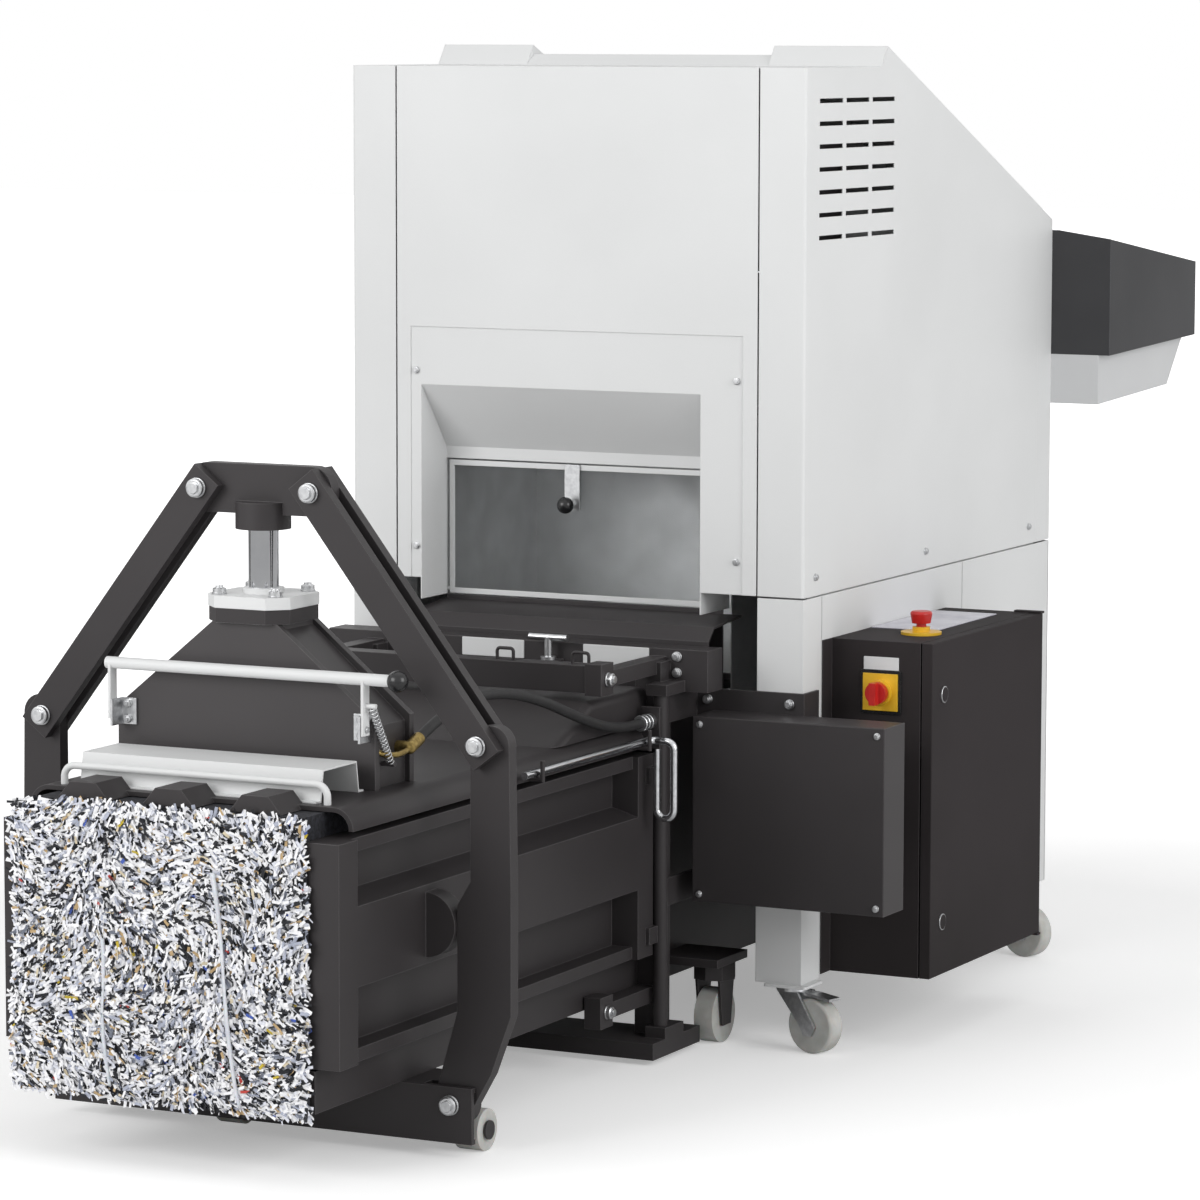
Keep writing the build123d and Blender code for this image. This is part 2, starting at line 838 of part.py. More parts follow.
gearbox_x = (cutter_faces[1] + end_plate, cutter_faces[1] + end_plate + gearbox_width)
gearbox_low = beam_z[1] + end_plate
with BuildPart() as cutter_drive:
    gearbox_y = (cutter_y - gearbox_depth / 2, cutter_y + gearbox_depth / 2)
    slab(gearbox_x, gearbox_y, (gearbox_low, gearbox_low + gearbox_height))
    bore = (gearbox_x[0], cutter_y, upper_z)
    bar(bore, (1, 0, 0), shaft_reach + overrun, shaft_radius + fit, Mode.SUBTRACT)
    motor_base = ((gearbox_x[0] + gearbox_x[1]) / 2, cutter_y, gearbox_low + gearbox_height)
    bar(motor_base, (0, 0, 1), motor_length, motor_radius)
    low_half = (lower_roller_z - 2 * shaft_radius, gearbox_low)
    slab(gearbox_x, (cutter_y - 2 * shaft_radius, cutter_y + 2 * shaft_radius), low_half)
    bore = (gearbox_x[0], cutter_y, lower_roller_z)
    bar(bore, (1, 0, 0), shaft_reach + overrun, shaft_radius + fit, Mode.SUBTRACT)
save(cutter_drive, "cutter_drive")

# Feed tray: side walls and floor, with the floor carried on to the cutting rollers
tray_y = (fy + tower_back, fy + tower_back + tray_length)
tray_half = tray_width / 2
floor_front = cutter_y + roller_radius + feed_floor_gap
with BuildPart() as feed_tray:
    tray_fall = (tray_low_rear - tray_low_front) / tray_length
    wing_low = tray_low_front + tray_fall * tray_sheet
    wing = [
        (tx - tray_half, wing_low),
        (tx + tray_half, wing_low),
        (tx + tray_half, tray_top_front),
        (tx + tray_inner_width / 2, tray_top_inner),
        (tx - tray_inner_width / 2, tray_top_inner),
        (tx - tray_half, tray_top_front),
    ]
    prism(front_plane(tray_y[0] + tray_sheet), wing, tray_sheet)
    cheek_line = [
        (tray_y[0], tray_low_front),
        (tray_y[1], tray_low_rear),
        (tray_y[1], tray_top_rear),
        (tray_y[0], tray_top_front),
    ]
    for wall_x in (tx - tray_half, tx + tray_half - tray_sheet):
        prism(side_plane(wall_x), cheek_line, tray_sheet)
    floor_line = [
        (tray_y[0], tray_low_front),
        (tray_y[1], tray_low_rear),
        (tray_y[1], tray_low_rear + tray_sheet),
        (tray_y[0], tray_low_front + tray_sheet),
    ]
    prism(side_plane(tx - tray_half), floor_line, tray_width)
    throat_y = (tray_y[0] - overrun, tray_y[0] + 2 * tray_sheet)
    slab(infeed_x, throat_y, (tray_low_front + tray_sheet, infeed_high), Mode.SUBTRACT)
    tongue_floor = (tray_low_front, tray_low_front + tray_sheet)
    tongue_edges = (feed_x - feed_floor_width / 2, feed_x + feed_floor_width / 2)
    slab(tongue_edges, (floor_front, tray_y[0]), tongue_floor)
    for edge, side in ((tongue_edges[1], 1), (tongue_edges[0], -1)):
        slab(span(edge, edge - side * tray_sheet), (floor_front, tray_y[0]),
             (tray_low_front, tray_low_front + feed_floor_wall))
save(feed_tray, "feed_tray")

pan_half = tray_half - pan_inset
with BuildPart() as feed_tray_pan:
    pan_top_rear = tray_low_front + tray_fall * pan_top_length
    outline = [
        (tray_y[0], pan_low_front),
        (tray_y[0] + pan_low_length, pan_low_rear),
        (tray_y[0] + pan_top_length, pan_top_rear),
        (tray_y[0], tray_low_front),
    ]
    hollow = [
        (tray_y[0] + sheet, pan_low_front + sheet),
        (tray_y[0] + pan_low_length - sheet, pan_low_rear + sheet),
        (tray_y[0] + pan_top_length - 2 * sheet, pan_top_rear),
        (tray_y[0] + sheet, tray_low_front),
    ]
    prism(side_plane(tx - pan_half), outline, 2 * pan_half)
    prism(side_plane(tx - pan_half + sheet), hollow, 2 * (pan_half - sheet), Mode.SUBTRACT)
save(feed_tray_pan, "feed_tray_pan")

# Chute liner: a folded sheet round the shred chamber, between the cutter beams and the press mouth
mouth_top = channel_top_z + plate
liner_back = (beam_y[1][0] + beam_y[1][1]) / 2
with BuildPart() as chute_liner:
    liner_line = [
        (tx - liner_left, fy + liner_front),
        (tx - liner_left, liner_back),
        (tx + liner_right, liner_back),
        (tx + liner_right, fy + liner_front),
    ]
    folded(Plane.XY.offset(mouth_top), liner_line, sheet, cutter_beam_low - mouth_top)
save(chute_liner, "chute_liner")

# Press frame: the press box, outlet posts and beam, chute front, plinth, hinge lugs and cover straps
with BuildPart() as press_frame:
    box_y = (fy - press_front, fy + press_rear)
    floor_z = (channel_floor_z - channel_floor_plate, channel_floor_z)
    box_z = (floor_z[0], mouth_top)
    slab((cx - press_half, cx + press_half), box_y, box_z)
    inside_y = (box_y[0] - overrun, box_y[1] - plate)
    slab((cx - channel_half, cx + channel_half), inside_y, (channel_floor_z, channel_top_z), Mode.SUBTRACT)
    flange_x = (tx - liner_left - sheet, tx + liner_right + sheet)
    flange_y = (fy + mouth_front - mouth_flange, fy + mouth_rear + mouth_flange)
    slab(flange_x, flange_y, (channel_top_z, mouth_top))
    mouth_y = (fy + mouth_front, fy + mouth_rear)
    mouth_z = (channel_roof_z, mouth_top + overrun)
    slab((cx - channel_half, cx + channel_half), mouth_y, mouth_z, Mode.SUBTRACT)
    chute_face = (fy + recess_depth, fy + recess_depth + sill_thick)
    slab((tx - recess_left, tx + recess_right), chute_face, (channel_top_z, chute_front_top))
    beam_rear = box_y[0] + post_thick + beam_thick
    slab((cx - beam_half, cx + beam_half), (beam_rear - beam_thick, beam_rear), (beam_low, beam_high))
    plinth_y = (fy - plinth_front, fy - plinth_rear)
    slab((cx - plinth_half, cx + plinth_half), plinth_y, (plinth_low, plinth_high))
    plinth_in = plinth_half - plinth_wall
    slab((cx - plinth_in, cx + plinth_in), (plinth_y[0] + plinth_wall, plinth_y[1] - plinth_wall),
         (plinth_low - overrun, plinth_high - plinth_wall), Mode.SUBTRACT)
    slab((cx + plinth_half - plinth_tail_width, cx + plinth_half), (plinth_y[1], fy - plinth_tail_rear),
         (plinth_low, plinth_high))
    for side_name, side in sides:
        post_x = span(cx + side * press_half, cx + side * (press_half + post_width))
        slab(post_x, (box_y[0], box_y[0] + post_thick), (post_low, post_high))
        hinge_x = cx + side * hinge_offset
        lug_x = (hinge_x - hinge_lug_half, hinge_x + hinge_lug_half)
        lug_y = (fy - hinge_y - hinge_lug_half, box_y[0] + post_thick)
        for lug_z, into in ((hinge_high, 1), (hinge_low, -1)):
            slab(lug_x, lug_y, span(lug_z, lug_z + into * hinge_lug))
            hole = (hinge_x, fy - hinge_y, lug_z)
            bar(hole, (0, 0, into), hinge_lug + overrun, hinge_pin_radius + fit, Mode.SUBTRACT)
        block_face = cx + side * clamp_block_outer
        block_x = span(block_face, block_face - side * clamp_block_width)
        block_y = (fy - clamp_block_y - clamp_block_half_y, fy - clamp_block_y + clamp_block_half_y)
        for block_z, arm_rear in ((clamp_block_top_z, box_y[0] + post_thick), (clamp_block_low_z, box_y[0])):
            slab(block_x, block_y, (block_z - clamp_block_half_z, block_z + clamp_block_half_z))
            arm_z = (block_z - clamp_arm_half, block_z + clamp_arm_half)
            slab(block_x, (block_y[1], arm_rear), arm_z)
            bolt_seat = (block_face, fy - clamp_block_y, block_z)
            hex_head(bolt_seat, (side, 0, 0), bolt_height, bolt_radius)
    bar_y = (fy - clamp_block_y - clamp_bar_half_y, fy - clamp_block_y + clamp_bar_half_y)
    bar_z = (clamp_block_top_z - clamp_bar_half_z, clamp_block_top_z + clamp_bar_half_z)
    bar_half = clamp_block_outer - clamp_block_width
    slab((cx - bar_half, cx + bar_half), bar_y, bar_z)
    bracket_x = (cx + press_half, cx + castor_bracket_reach)
    bracket_y = (fy - baler_castor_y - castor_bracket_front, fy - baler_castor_y + castor_bracket_rear)
    bracket_z = (castor_mount_top - castor_bracket_thick, castor_mount_top)
    slab(bracket_x, bracket_y, bracket_z)
    with BuildSketch(Plane.XY.offset(floor_z[0])):
        with Locations((cx + baler_castor_right, fy - baler_castor_y)):
            RegularPolygon(castor_mount_radius, 8)
    extrude(amount=bracket_z[0] - floor_z[0])
    for castor_x in (cx + baler_castor_right, cx - baler_castor_left):
        for cheek_x, side in ((castor_x + cheek_gap, 1), (castor_x - cheek_gap, -1)):
            cheek_outline = [
                (fy - baler_castor_y - fork_crown_radius, floor_z[0]),
                (fy - baler_castor_y - fork_foot, wheel_radius - fork_foot),
                (fy - baler_castor_y + fork_foot, wheel_radius - fork_foot),
                (fy - baler_castor_y + fork_crown_radius, floor_z[0]),
            ]
            prism(side_plane(min(cheek_x, cheek_x + side * fork_sheet)), cheek_outline, fork_sheet)
        bar((castor_x - cheek_gap, fy - baler_castor_y, wheel_radius), (1, 0, 0), 2 * cheek_gap, axle_radius)
    lock_place = (cx + lock_x, beam_rear - beam_thick - lock_y)
    lug_z = (lock_lug_z - lock_lug_thick, lock_lug_z)
    slab((lock_place[0] - lock_lug_half, lock_place[0] + lock_lug_half),
         (lock_place[1] - lock_lug_half, beam_rear - beam_thick), lug_z)
    bar((*lock_place, lug_z[0] - overrun), (0, 0, 1), lock_lug_thick + 2 * overrun, lock_stem_radius + fit,
        Mode.SUBTRACT)
    post_face = cx + press_half + post_width
    band = [
        (post_face, box_y[0]),
        (post_face, fy),
        (right_wall, fy),
        (right_wall, fy + strap_band_reach),
        (right_wall + strap_band, fy + strap_band_reach),
        (right_wall + strap_band, fy - strap_band),
        (post_face + strap_band, fy - strap_band),
        (post_face + strap_band, box_y[0]),
    ]
    for band_z in (strap_band_top_z, strap_band_low_z):
        prism(Plane.XY.offset(band_z), band, strap_band_high)
save(press_frame, "press_frame")

# Press ram with its rod and piston, and the main cylinder
ram_y = (fy + ram_face_y, fy + ram_face_y + ram_length)
ram_half = channel_half - 2 * fit
ram_z = (channel_floor_z + fit, channel_top_z - 2 * fit)
with BuildPart() as press_ram:
    slab((cx - ram_half, cx + ram_half), ram_y, ram_z)
    slab((cx - ram_half + ram_wall, cx + ram_half - ram_wall), (ram_y[0] + ram_plate, ram_y[1] + overrun),
         (ram_z[0] - overrun, ram_z[1] - ram_wall), Mode.SUBTRACT)
    rod_start = (cx, ram_y[0] + ram_plate, press_axis_z)
    bar(rod_start, (0, 1, 0), piston_y - ram_face_y - ram_plate, ram_rod_radius)
    bar((cx, fy + piston_y, press_axis_z), (0, 1, 0), piston_length, bore_radius - fit)
save(press_ram, "press_ram")

with BuildPart() as main_cylinder:
    barrel_length = press_rear - plate - barrel_front
    bar((cx, fy + barrel_front, press_axis_z), (0, 1, 0), barrel_length, barrel_radius)
    bar((cx, fy + barrel_front, press_axis_z), (0, 1, 0), barrel_gland, gland_collar_radius)
    bar((cx, fy + barrel_front - overrun, press_axis_z), (0, 1, 0), 2 * barrel_gland, ram_rod_radius + fit,
        Mode.SUBTRACT)
    bore_length = barrel_length - 2 * barrel_gland
    bore_start = (cx, fy + barrel_front + barrel_gland, press_axis_z)
    bar(bore_start, (0, 1, 0), bore_length, bore_radius, Mode.SUBTRACT)
save(main_cylinder, "main_cylinder")

# Outlet channel: floor trough and folded top with strap ribs, needle hooks and hose bracket
channel_y = (fy - channel_front, fy - press_front)
floor_half = channel_half + overrun + upstand_thick
with BuildPart() as channel_floor:
    trough = [
        (cx - floor_half, upstand_top),
        (cx - floor_half, floor_z[0]),
        (cx + floor_half, floor_z[0]),
        (cx + floor_half, upstand_top),
        (cx + floor_half - upstand_thick, upstand_top),
        (cx + floor_half - upstand_thick, channel_floor_z),
        (cx - floor_half + upstand_thick, channel_floor_z),
        (cx - floor_half + upstand_thick, upstand_top),
    ]
    prism(front_plane(channel_y[1]), trough, channel_y[1] - channel_y[0])
save(channel_floor, "channel_floor")

top_y = (fy - roof_front, fy - press_front)
roof_inner = roof_half - roof_plate
bend = min(roof_bend, channel_top_z - roof_skirt_low - fit)
hose_end = (tx + hose_route[-1][0], fy + hose_route[-1][1], hose_route[-1][2])
with BuildPart() as channel_top:
    with BuildSketch(front_plane(top_y[1])):
        with BuildLine():
            outside = FilletPolyline(
                (cx - roof_half, roof_skirt_low),
                (cx - roof_half, channel_top_z),
                (cx + roof_half, channel_top_z),
                (cx + roof_half, roof_skirt_low),
                radius=bend,
            )
            underside = FilletPolyline(
                (cx - roof_inner, roof_skirt_low),
                (cx - roof_inner, channel_roof_z),
                (cx + roof_inner, channel_roof_z),
                (cx + roof_inner, roof_skirt_low),
                radius=bend - roof_plate,
            )
            Line(outside @ 0, underside @ 0)
            Line(outside @ 1, underside @ 1)
        make_face()
    extrude(amount=top_y[1] - top_y[0])
    ramp = [
        (fy - ramp_front, channel_top_z),
        (fy - ramp_crest, ramp_top),
        (top_y[1], ramp_top),
        (top_y[1], channel_top_z),
    ]
    prism(side_plane(cx - ramp_half), ramp, 2 * ramp_half)
    for side_name, side in sides:
        edge_x = cx + side * ramp_half
        rims = channel_top.edges().filter_by_position(Axis.X, edge_x - fit, edge_x + fit)
        rims = rims.filter_by_position(Axis.Z, channel_top_z + fit, ramp_top + fit)
        fillet(rims.filter_by(Axis.Z, reverse=True), radius=ramp_round)
    hollow = [
        (fy - ramp_front + 2 * ramp_sheet, channel_top_z),
        (fy - ramp_crest + ramp_sheet / 2, ramp_top - ramp_sheet),
        (top_y[1] + overrun, ramp_top - ramp_sheet),
        (top_y[1] + overrun, channel_top_z),
    ]
    prism(side_plane(cx - ramp_half + ramp_sheet), hollow, 2 * (ramp_half - ramp_sheet), Mode.SUBTRACT)
    for rib in range(rib_count):
        rib_x = cx + (rib - (rib_count - 1) / 2) * rib_pitch
        rib_outline = [
            (rib_x - rib_foot / 2, channel_roof_z),
            (rib_x + rib_foot / 2, channel_roof_z),
            (rib_x + rib_crest / 2, channel_top_z + rib_height),
            (rib_x - rib_crest / 2, channel_top_z + rib_height),
        ]
        prism(front_plane(top_y[0] + rib_lap), rib_outline, channel_front - roof_front + rib_lap)
    for hook_y in (hook_front_y, hook_rear_y):
        hook_start = (cx + roof_half - roof_plate / 2, fy - hook_y, hook_z)
        bar(hook_start, (1, 0, 0), hook_reach + roof_plate / 2, hook_radius)
        hook_tip = (cx + roof_half + hook_reach, fy - hook_y, hook_z - hook_radius)
        bar(hook_tip, (0, 0, 1), hook_rise, hook_radius)
    bracket_half = hose_bracket_width / 2
    ferrule_end = hose_end[1] + ferrule_length
    bracket_y = (ferrule_end, ferrule_end + hose_bracket_thick)
    bracket_x = (hose_end[0] - bracket_half, hose_end[0] + bracket_half)
    slab(bracket_x, bracket_y, (roof_skirt_low, hose_bracket_top))
save(channel_top, "channel_top")

# Channel walls: hinged at the press and pushed in by the clamp arms
pad_reach = arm_inner_mid - wall_outer - fit
wall_y = (channel_y[0], fy - wall_rear)
for side_name, side in sides:
    face_x = span(cx + side * channel_half, cx + side * (channel_half + wall_plate))
    rib_x = span(cx + side * (channel_half + wall_plate), cx + side * wall_outer)
    lip_x = span(cx + side * (channel_half + wall_plate), cx + side * wall_flange_outer)
    with BuildPart() as side_wall:
        slab(face_x, wall_y, (wall_low, wall_high))
        slab(rib_x, (wall_y[0], wall_y[0] + wall_post), (wall_low, wall_high))
        slab(rib_x, (wall_y[1] - wall_post, wall_y[1]), (wall_low, wall_high))
        slab(lip_x, wall_y, (wall_high - wall_flange, wall_high))
        slab(lip_x, wall_y, (wall_low, wall_low + wall_flange))
        rib_outline = [
            (cx + side * (channel_half + wall_plate), wall_rib_low - wall_rib_flare),
            (cx + side * wall_outer, wall_rib_low),
            (cx + side * wall_outer, wall_rib_high),
            (cx + side * (channel_half + wall_plate), wall_rib_high + wall_rib_flare),
        ]
        prism(front_plane(wall_y[1]), rib_outline, wall_y[1] - wall_y[0])
        with BuildSketch(front_plane(ay + pad_half)):
            with Locations((cx + side * wall_outer, pad_z)):
                Circle(pad_reach)
        extrude(amount=2 * pad_half)
        hinge_x = cx + side * hinge_offset
        hinge_length = hinge_high - hinge_low - 2 * fit
        bar((hinge_x, fy - hinge_y, hinge_low + fit), (0, 0, 1), hinge_length, hinge_radius)
        pin_low = hinge_low - hinge_lug
        bar((hinge_x, fy - hinge_y, pin_low), (0, 0, 1), hinge_high + hinge_lug - pin_low, hinge_pin_radius)
        knuckle_x = span(cx + side * (wall_outer - knuckle_height), hinge_x)
        knuckle_y = (wall_y[1] - knuckle_height, fy - hinge_y)
        slab(knuckle_x, knuckle_y, (wall_high - wall_flange - knuckle_height, wall_high - wall_flange))
        slab(knuckle_x, knuckle_y, (wall_low + wall_flange, wall_low + wall_flange + knuckle_height))
    save(side_wall, f"side_wall_{side_name}")

# Cross beam: a box section under the outlet that carries the arm pivots and two rollers
cross_y = (fy - cross_front, fy - cross_front + cross_depth)
roller_places = (cx + roller_left, cx + roller_right)
front_arm = ay - arm_thick / 2
roller_y = front_arm + arm_thick + 2 * link_gap + front_roller_radius
with BuildPart() as cross_beam:
    slab((cx - cross_half, cx + cross_half), cross_y, (cross_low, cross_high))
    hollow_y = (cross_y[0] + cross_wall, cross_y[1] - cross_wall)
    slab((cx - cross_half - overrun, cx + cross_half + overrun), hollow_y,
         (cross_low + cross_wall, cross_high - cross_wall), Mode.SUBTRACT)
    slot_y = (front_arm - link_gap, front_arm + arm_thick + link_gap)
    for side_name, side in sides:
        slot_x = span(cx + side * cross_slot_start, cx + side * (cross_half + overrun))
        slab(slot_x, slot_y, (cross_high - 2 * cross_wall, cross_high + overrun), Mode.SUBTRACT)
        end_x = span(cx + side * cross_box_half, cx + side * (cross_half + overrun))
        slab(end_x, (slot_y[0], cross_y[1] + overrun), (cross_low - overrun, cross_high + overrun),
             Mode.SUBTRACT)
        cap_x = span(cx + side * cross_box_half, cx + side * (cross_box_half - cheek))
        slab(cap_x, (slot_y[1], cross_y[1]), (cross_low, cross_high))
        tail_x = span(cx + side * cross_slot_start, cx + side * cross_tail_half)
        slab(tail_x, (slot_y[1], slot_y[1] + cross_wall), (cross_tail_low, cross_high))
        pivot = (cx + side * pivot_half, cross_y[0], pivot_z)
        bar(pivot, (0, 1, 0), slot_y[1] + cross_wall - cross_y[0], pin_radius)
        hex_head(pivot, (0, -1, 0), pin_head, pin_head_radius)
    pocket = front_roller_width / 2 + fork_side_gap
    pocket_y = (front_arm + arm_thick, cross_y[1] - cross_wall)
    slab((roller_places[0] - pocket, roller_places[0] + pocket), pocket_y,
         (cross_low - overrun, cross_low + cross_wall + overrun), Mode.SUBTRACT)
    for cheek_x, side in ((roller_places[0] + pocket, 1), (roller_places[0] - pocket, -1)):
        slab(span(cheek_x, cheek_x + side * cheek), (slot_y[1], cross_y[1]), (cross_low, cheek_top))
    bar((roller_places[0] - pocket, roller_y, front_roller_radius), (1, 0, 0), 2 * pocket, front_axle_radius)
    stub = (cx + cross_box_half, roller_y, front_roller_radius)
    bar(stub, (1, 0, 0), roller_places[1] + pocket - stub[0], front_axle_radius)
    washer = (roller_places[1] + pocket, roller_y, front_roller_radius)
    bar(washer, (1, 0, 0), axle_washer, 2 * front_axle_radius)
save(cross_beam, "cross_beam")

with BuildPart() as front_rollers:
    for place in roller_places:
        start = (place - front_roller_width / 2, roller_y, front_roller_radius)
        bar(start, (1, 0, 0), front_roller_width, front_roller_radius)
        bore = (start[0] - overrun, roller_y, front_roller_radius)
        bar(bore, (1, 0, 0), front_roller_width + 2 * overrun, front_axle_radius + fit, Mode.SUBTRACT)
save(front_rollers, "front_rollers")

# Clamp arms, links and yoke: the rod lifts the yoke and the links draw the arms in
link_way = (lower_half - yoke_half, lower_z - yoke_z)
link_length = hypot(*link_way)
front_link = front_arm - link_gap
rear_link = front_arm + arm_thick + link_gap + link_thick
for side_name, side in sides:
    arm_outline = [
        (cx + side * (pivot_half - arm_end_radius), pivot_z),
        (cx + side * arm_inner_low, arm_shoulder),
        (cx + side * arm_inner_mid, arm_waist),
        (cx + side * arm_inner_mid, arm_step_low),
        (cx + side * arm_inner_high, arm_step_high),
        (cx + side * arm_inner_high, arm_top),
        (cx + side * arm_outer_high, arm_top),
        (cx + side * arm_outer_mid, arm_step_high),
        (cx + side * arm_outer_mid, arm_waist),
        (cx + side * arm_outer_low, arm_shoulder),
        (cx + side * (pivot_half + arm_end_radius), pivot_z),
    ]
    with BuildPart() as clamp_arm:
        prism(front_plane(front_arm + arm_thick), arm_outline, arm_thick)
        pivot = (cx + side * pivot_half, front_arm, pivot_z)
        bar(pivot, (0, 1, 0), arm_thick, arm_end_radius)
        top_edges = clamp_arm.edges().filter_by(Axis.Y).group_by(Axis.Z)[-1]
        fillet(top_edges, radius=arm_round)
        bar(pivot, (0, 1, 0), arm_thick, pin_radius + fit, Mode.SUBTRACT)
        joint = (cx + side * lower_half, front_arm, lower_z)
        bar(joint, (0, 1, 0), arm_thick, pin_radius + open_pivot_clearance, Mode.SUBTRACT)
    save(clamp_arm, f"clamp_arm_{side_name}")

    middle = (cx + side * (yoke_half + lower_half) / 2, (yoke_z + lower_z) / 2)
    lean = degrees(atan2(link_way[1], side * link_way[0]))
    with BuildPart() as clamp_link:
        for link_face in (front_link, rear_link):
            with BuildSketch(front_plane(link_face)) as link_sketch:
                with Locations(middle):
                    Rectangle(link_length + link_width, link_width, rotation=lean)
                with Locations((cx + side * yoke_half, yoke_z)):
                    Circle(pin_radius + fit, mode=Mode.SUBTRACT)
            extrude(link_sketch.sketch, amount=link_thick)
        joint = (cx + side * lower_half, front_link - link_thick, lower_z)
        bar(joint, (0, 1, 0), rear_link - front_link + link_thick, pin_radius)
        hex_head(joint, (0, -1, 0), pin_head, pin_head_radius)
    save(clamp_link, f"clamp_links_{side_name}")

with BuildPart() as yoke:
    with BuildSketch(front_plane(front_arm + arm_thick)):
        with Locations((cx, yoke_z)):
            RectangleRounded(2 * yoke_reach, yoke_width, yoke_round)
    extrude(amount=arm_thick)
    bar((cx, ay, collar_low), (0, 0, 1), yoke_z - collar_low - yoke_width / 4, collar_radius)
    for side_name, side in sides:
        head = (cx + side * yoke_half, front_link - link_thick - link_gap, yoke_z)
        bar(head, (0, 1, 0), rear_link - front_link + link_thick + 2 * link_gap, pin_radius)
        hex_head(head, (0, -1, 0), pin_head, pin_head_radius)
save(yoke, "yoke")

rod_low = flange_low - rod_inside
with BuildPart() as clamp_rod:
    bar((cx, ay, rod_low), (0, 0, 1), collar_low - rod_low, rod_radius)
save(clamp_rod, "clamp_rod")

# Clamp cylinder: a welded pyramid base, a flange with four bolts and the rod's gland
inner_half = base_half - base_inset
with BuildPart() as cylinder_base:
    face_outline = [
        (cx - base_half, channel_top_z),
        (cx + base_half, channel_top_z),
        (cx + base_half, base_shoulder),
        (cx + base_top_half, base_top),
        (cx - base_top_half, base_top),
        (cx - base_half, base_shoulder),
    ]
    core_outline = [
        (cx - inner_half, channel_top_z),
        (cx + inner_half, channel_top_z),
        (cx + inner_half, base_shoulder - base_inset),
        (cx + base_top_half, base_top - base_inset),
        (cx + base_top_half, base_top),
        (cx - base_top_half, base_top),
        (cx - base_top_half, base_top - base_inset),
        (cx - inner_half, base_shoulder - base_inset),
    ]
    prism(front_plane(fy - base_front + base_face), face_outline, base_face)
    prism(front_plane(fy - base_rear), face_outline, base_face)
    prism(front_plane(fy - base_rear), core_outline, base_front - base_rear)
    bore = (cx, ay, rod_low - rod_bore_spare)
    bar(bore, (0, 0, 1), base_top - bore[2] + overrun, rod_radius + fit, Mode.SUBTRACT)
    stud = (cx + inner_half, fy - spring_low_y, spring_low_z)
    bar(stud, (1, 0, 0), base_inset + spring_stud_length, spring_stud_radius)
save(cylinder_base, "cylinder_base")

with BuildPart() as cylinder_flange:
    ring_half = flange_half - ring_inset
    for low, high, half in ((base_top, flange_low, ring_half), (flange_low, flange_high, flange_half)):
        with BuildSketch(Plane.XY.offset(low)) as octagon:
            with Locations((cx, ay)):
                Rectangle(2 * half, 2 * half)
            chamfer(octagon.vertices(), length=flange_corner)
        extrude(amount=high - low)
    bar((cx, ay, flange_high), (0, 0, 1), gland_height, gland_radius)
    for bolt_x in (-flange_bolt_pitch / 2, flange_bolt_pitch / 2):
        for bolt_y in (-flange_bolt_pitch / 2, flange_bolt_pitch / 2):
            bolt_seat = (cx + bolt_x, ay + bolt_y, flange_high)
            hex_head(bolt_seat, (0, 0, 1), flange_bolt_height, flange_bolt_radius)
    bar((cx, ay, base_top - overrun), (0, 0, 1), flange_high + gland_height - base_top + 2 * overrun,
        rod_radius + fit, Mode.SUBTRACT)
save(cylinder_flange, "cylinder_flange")

# Hand lever in two brackets, with its return spring
stud_end = base_half + spring_stud_length
leg_outer = lever_half + lever_leg_thick
with BuildPart() as hand_lever:
    lever_start = (cx - lever_left_end, fy - lever_y, lever_z)
    bar(lever_start, (1, 0, 0), lever_left_end + lever_right_end, lever_radius)
    with Locations((cx + lever_right_end + lever_ball_radius / 2, fy - lever_y, lever_z)):
        Sphere(lever_ball_radius)
    for side_name, side in sides:
        leg_x = span(cx + side * lever_half, cx + side * leg_outer)
        leg_y = (fy - lever_y - lever_leg_width / 2, fy - lever_y + lever_leg_width / 2)
        slab(leg_x, leg_y, (lever_pivot_z - lever_leg_width / 2, lever_z))
        hole = (cx + side * (lever_half - overrun), fy - lever_y, lever_pivot_z)
        bar(hole, (side, 0, 0), lever_leg_thick + 2 * overrun, lever_pin_radius + fit, Mode.SUBTRACT)
    bar((cx + leg_outer, fy - lever_y, spring_top_z), (1, 0, 0), stud_end - leg_outer, spring_stud_radius)
save(hand_lever, "hand_lever")

with BuildPart() as lever_brackets:
    for side_name, side in sides:
        web = lever_half - fit
        web_x = span(cx + side * web, cx + side * (web - bracket_sheet))
        bracket_z = (lever_pivot_z - bracket_height / 2, lever_pivot_z + bracket_height / 2)
        slab(web_x, (fy - lever_y - bracket_nose, fy - base_front), bracket_z)
        face_x = span(cx + side * web, cx + side * (web - bracket_face))
        slab(face_x, (fy - base_front - bracket_sheet, fy - base_front), bracket_z)
        pin = (cx + side * web, fy - lever_y, lever_pivot_z)
        bar(pin, (side, 0, 0), lever_leg_thick + bracket_sheet, lever_pin_radius)
save(lever_brackets, "lever_brackets")

with BuildPart() as lever_spring:
    spring_x = cx + base_half + spring_stud_length / 2
    top = Vector(spring_x, fy - lever_y, spring_top_z)
    low = Vector(spring_x, fy - spring_low_y, spring_low_z)
    way = (low - top).normalized()
    clear = spring_stud_radius + fit
    bar(top + way * clear, way, (low - top).length - 2 * clear, spring_radius)
save(lever_spring, "lever_spring")

# Strap guides: a bent bar and a folded tray on the channel top
with BuildPart() as strap_guide_bar:
    with BuildLine() as guide_path:
        FilletPolyline(
            (cx - guide_half, fy - guide_y, channel_top_z),
            (cx - guide_half, fy - guide_y, guide_z),
            (cx + guide_half, fy - guide_y, guide_z),
            (cx + guide_half, fy - guide_y, channel_top_z),
            radius=guide_bend,
        )
    with BuildSketch(Plane(origin=guide_path.line @ 0, z_dir=guide_path.line % 0)):
        Circle(guide_radius)
    sweep()
save(strap_guide_bar, "strap_guide_bar")

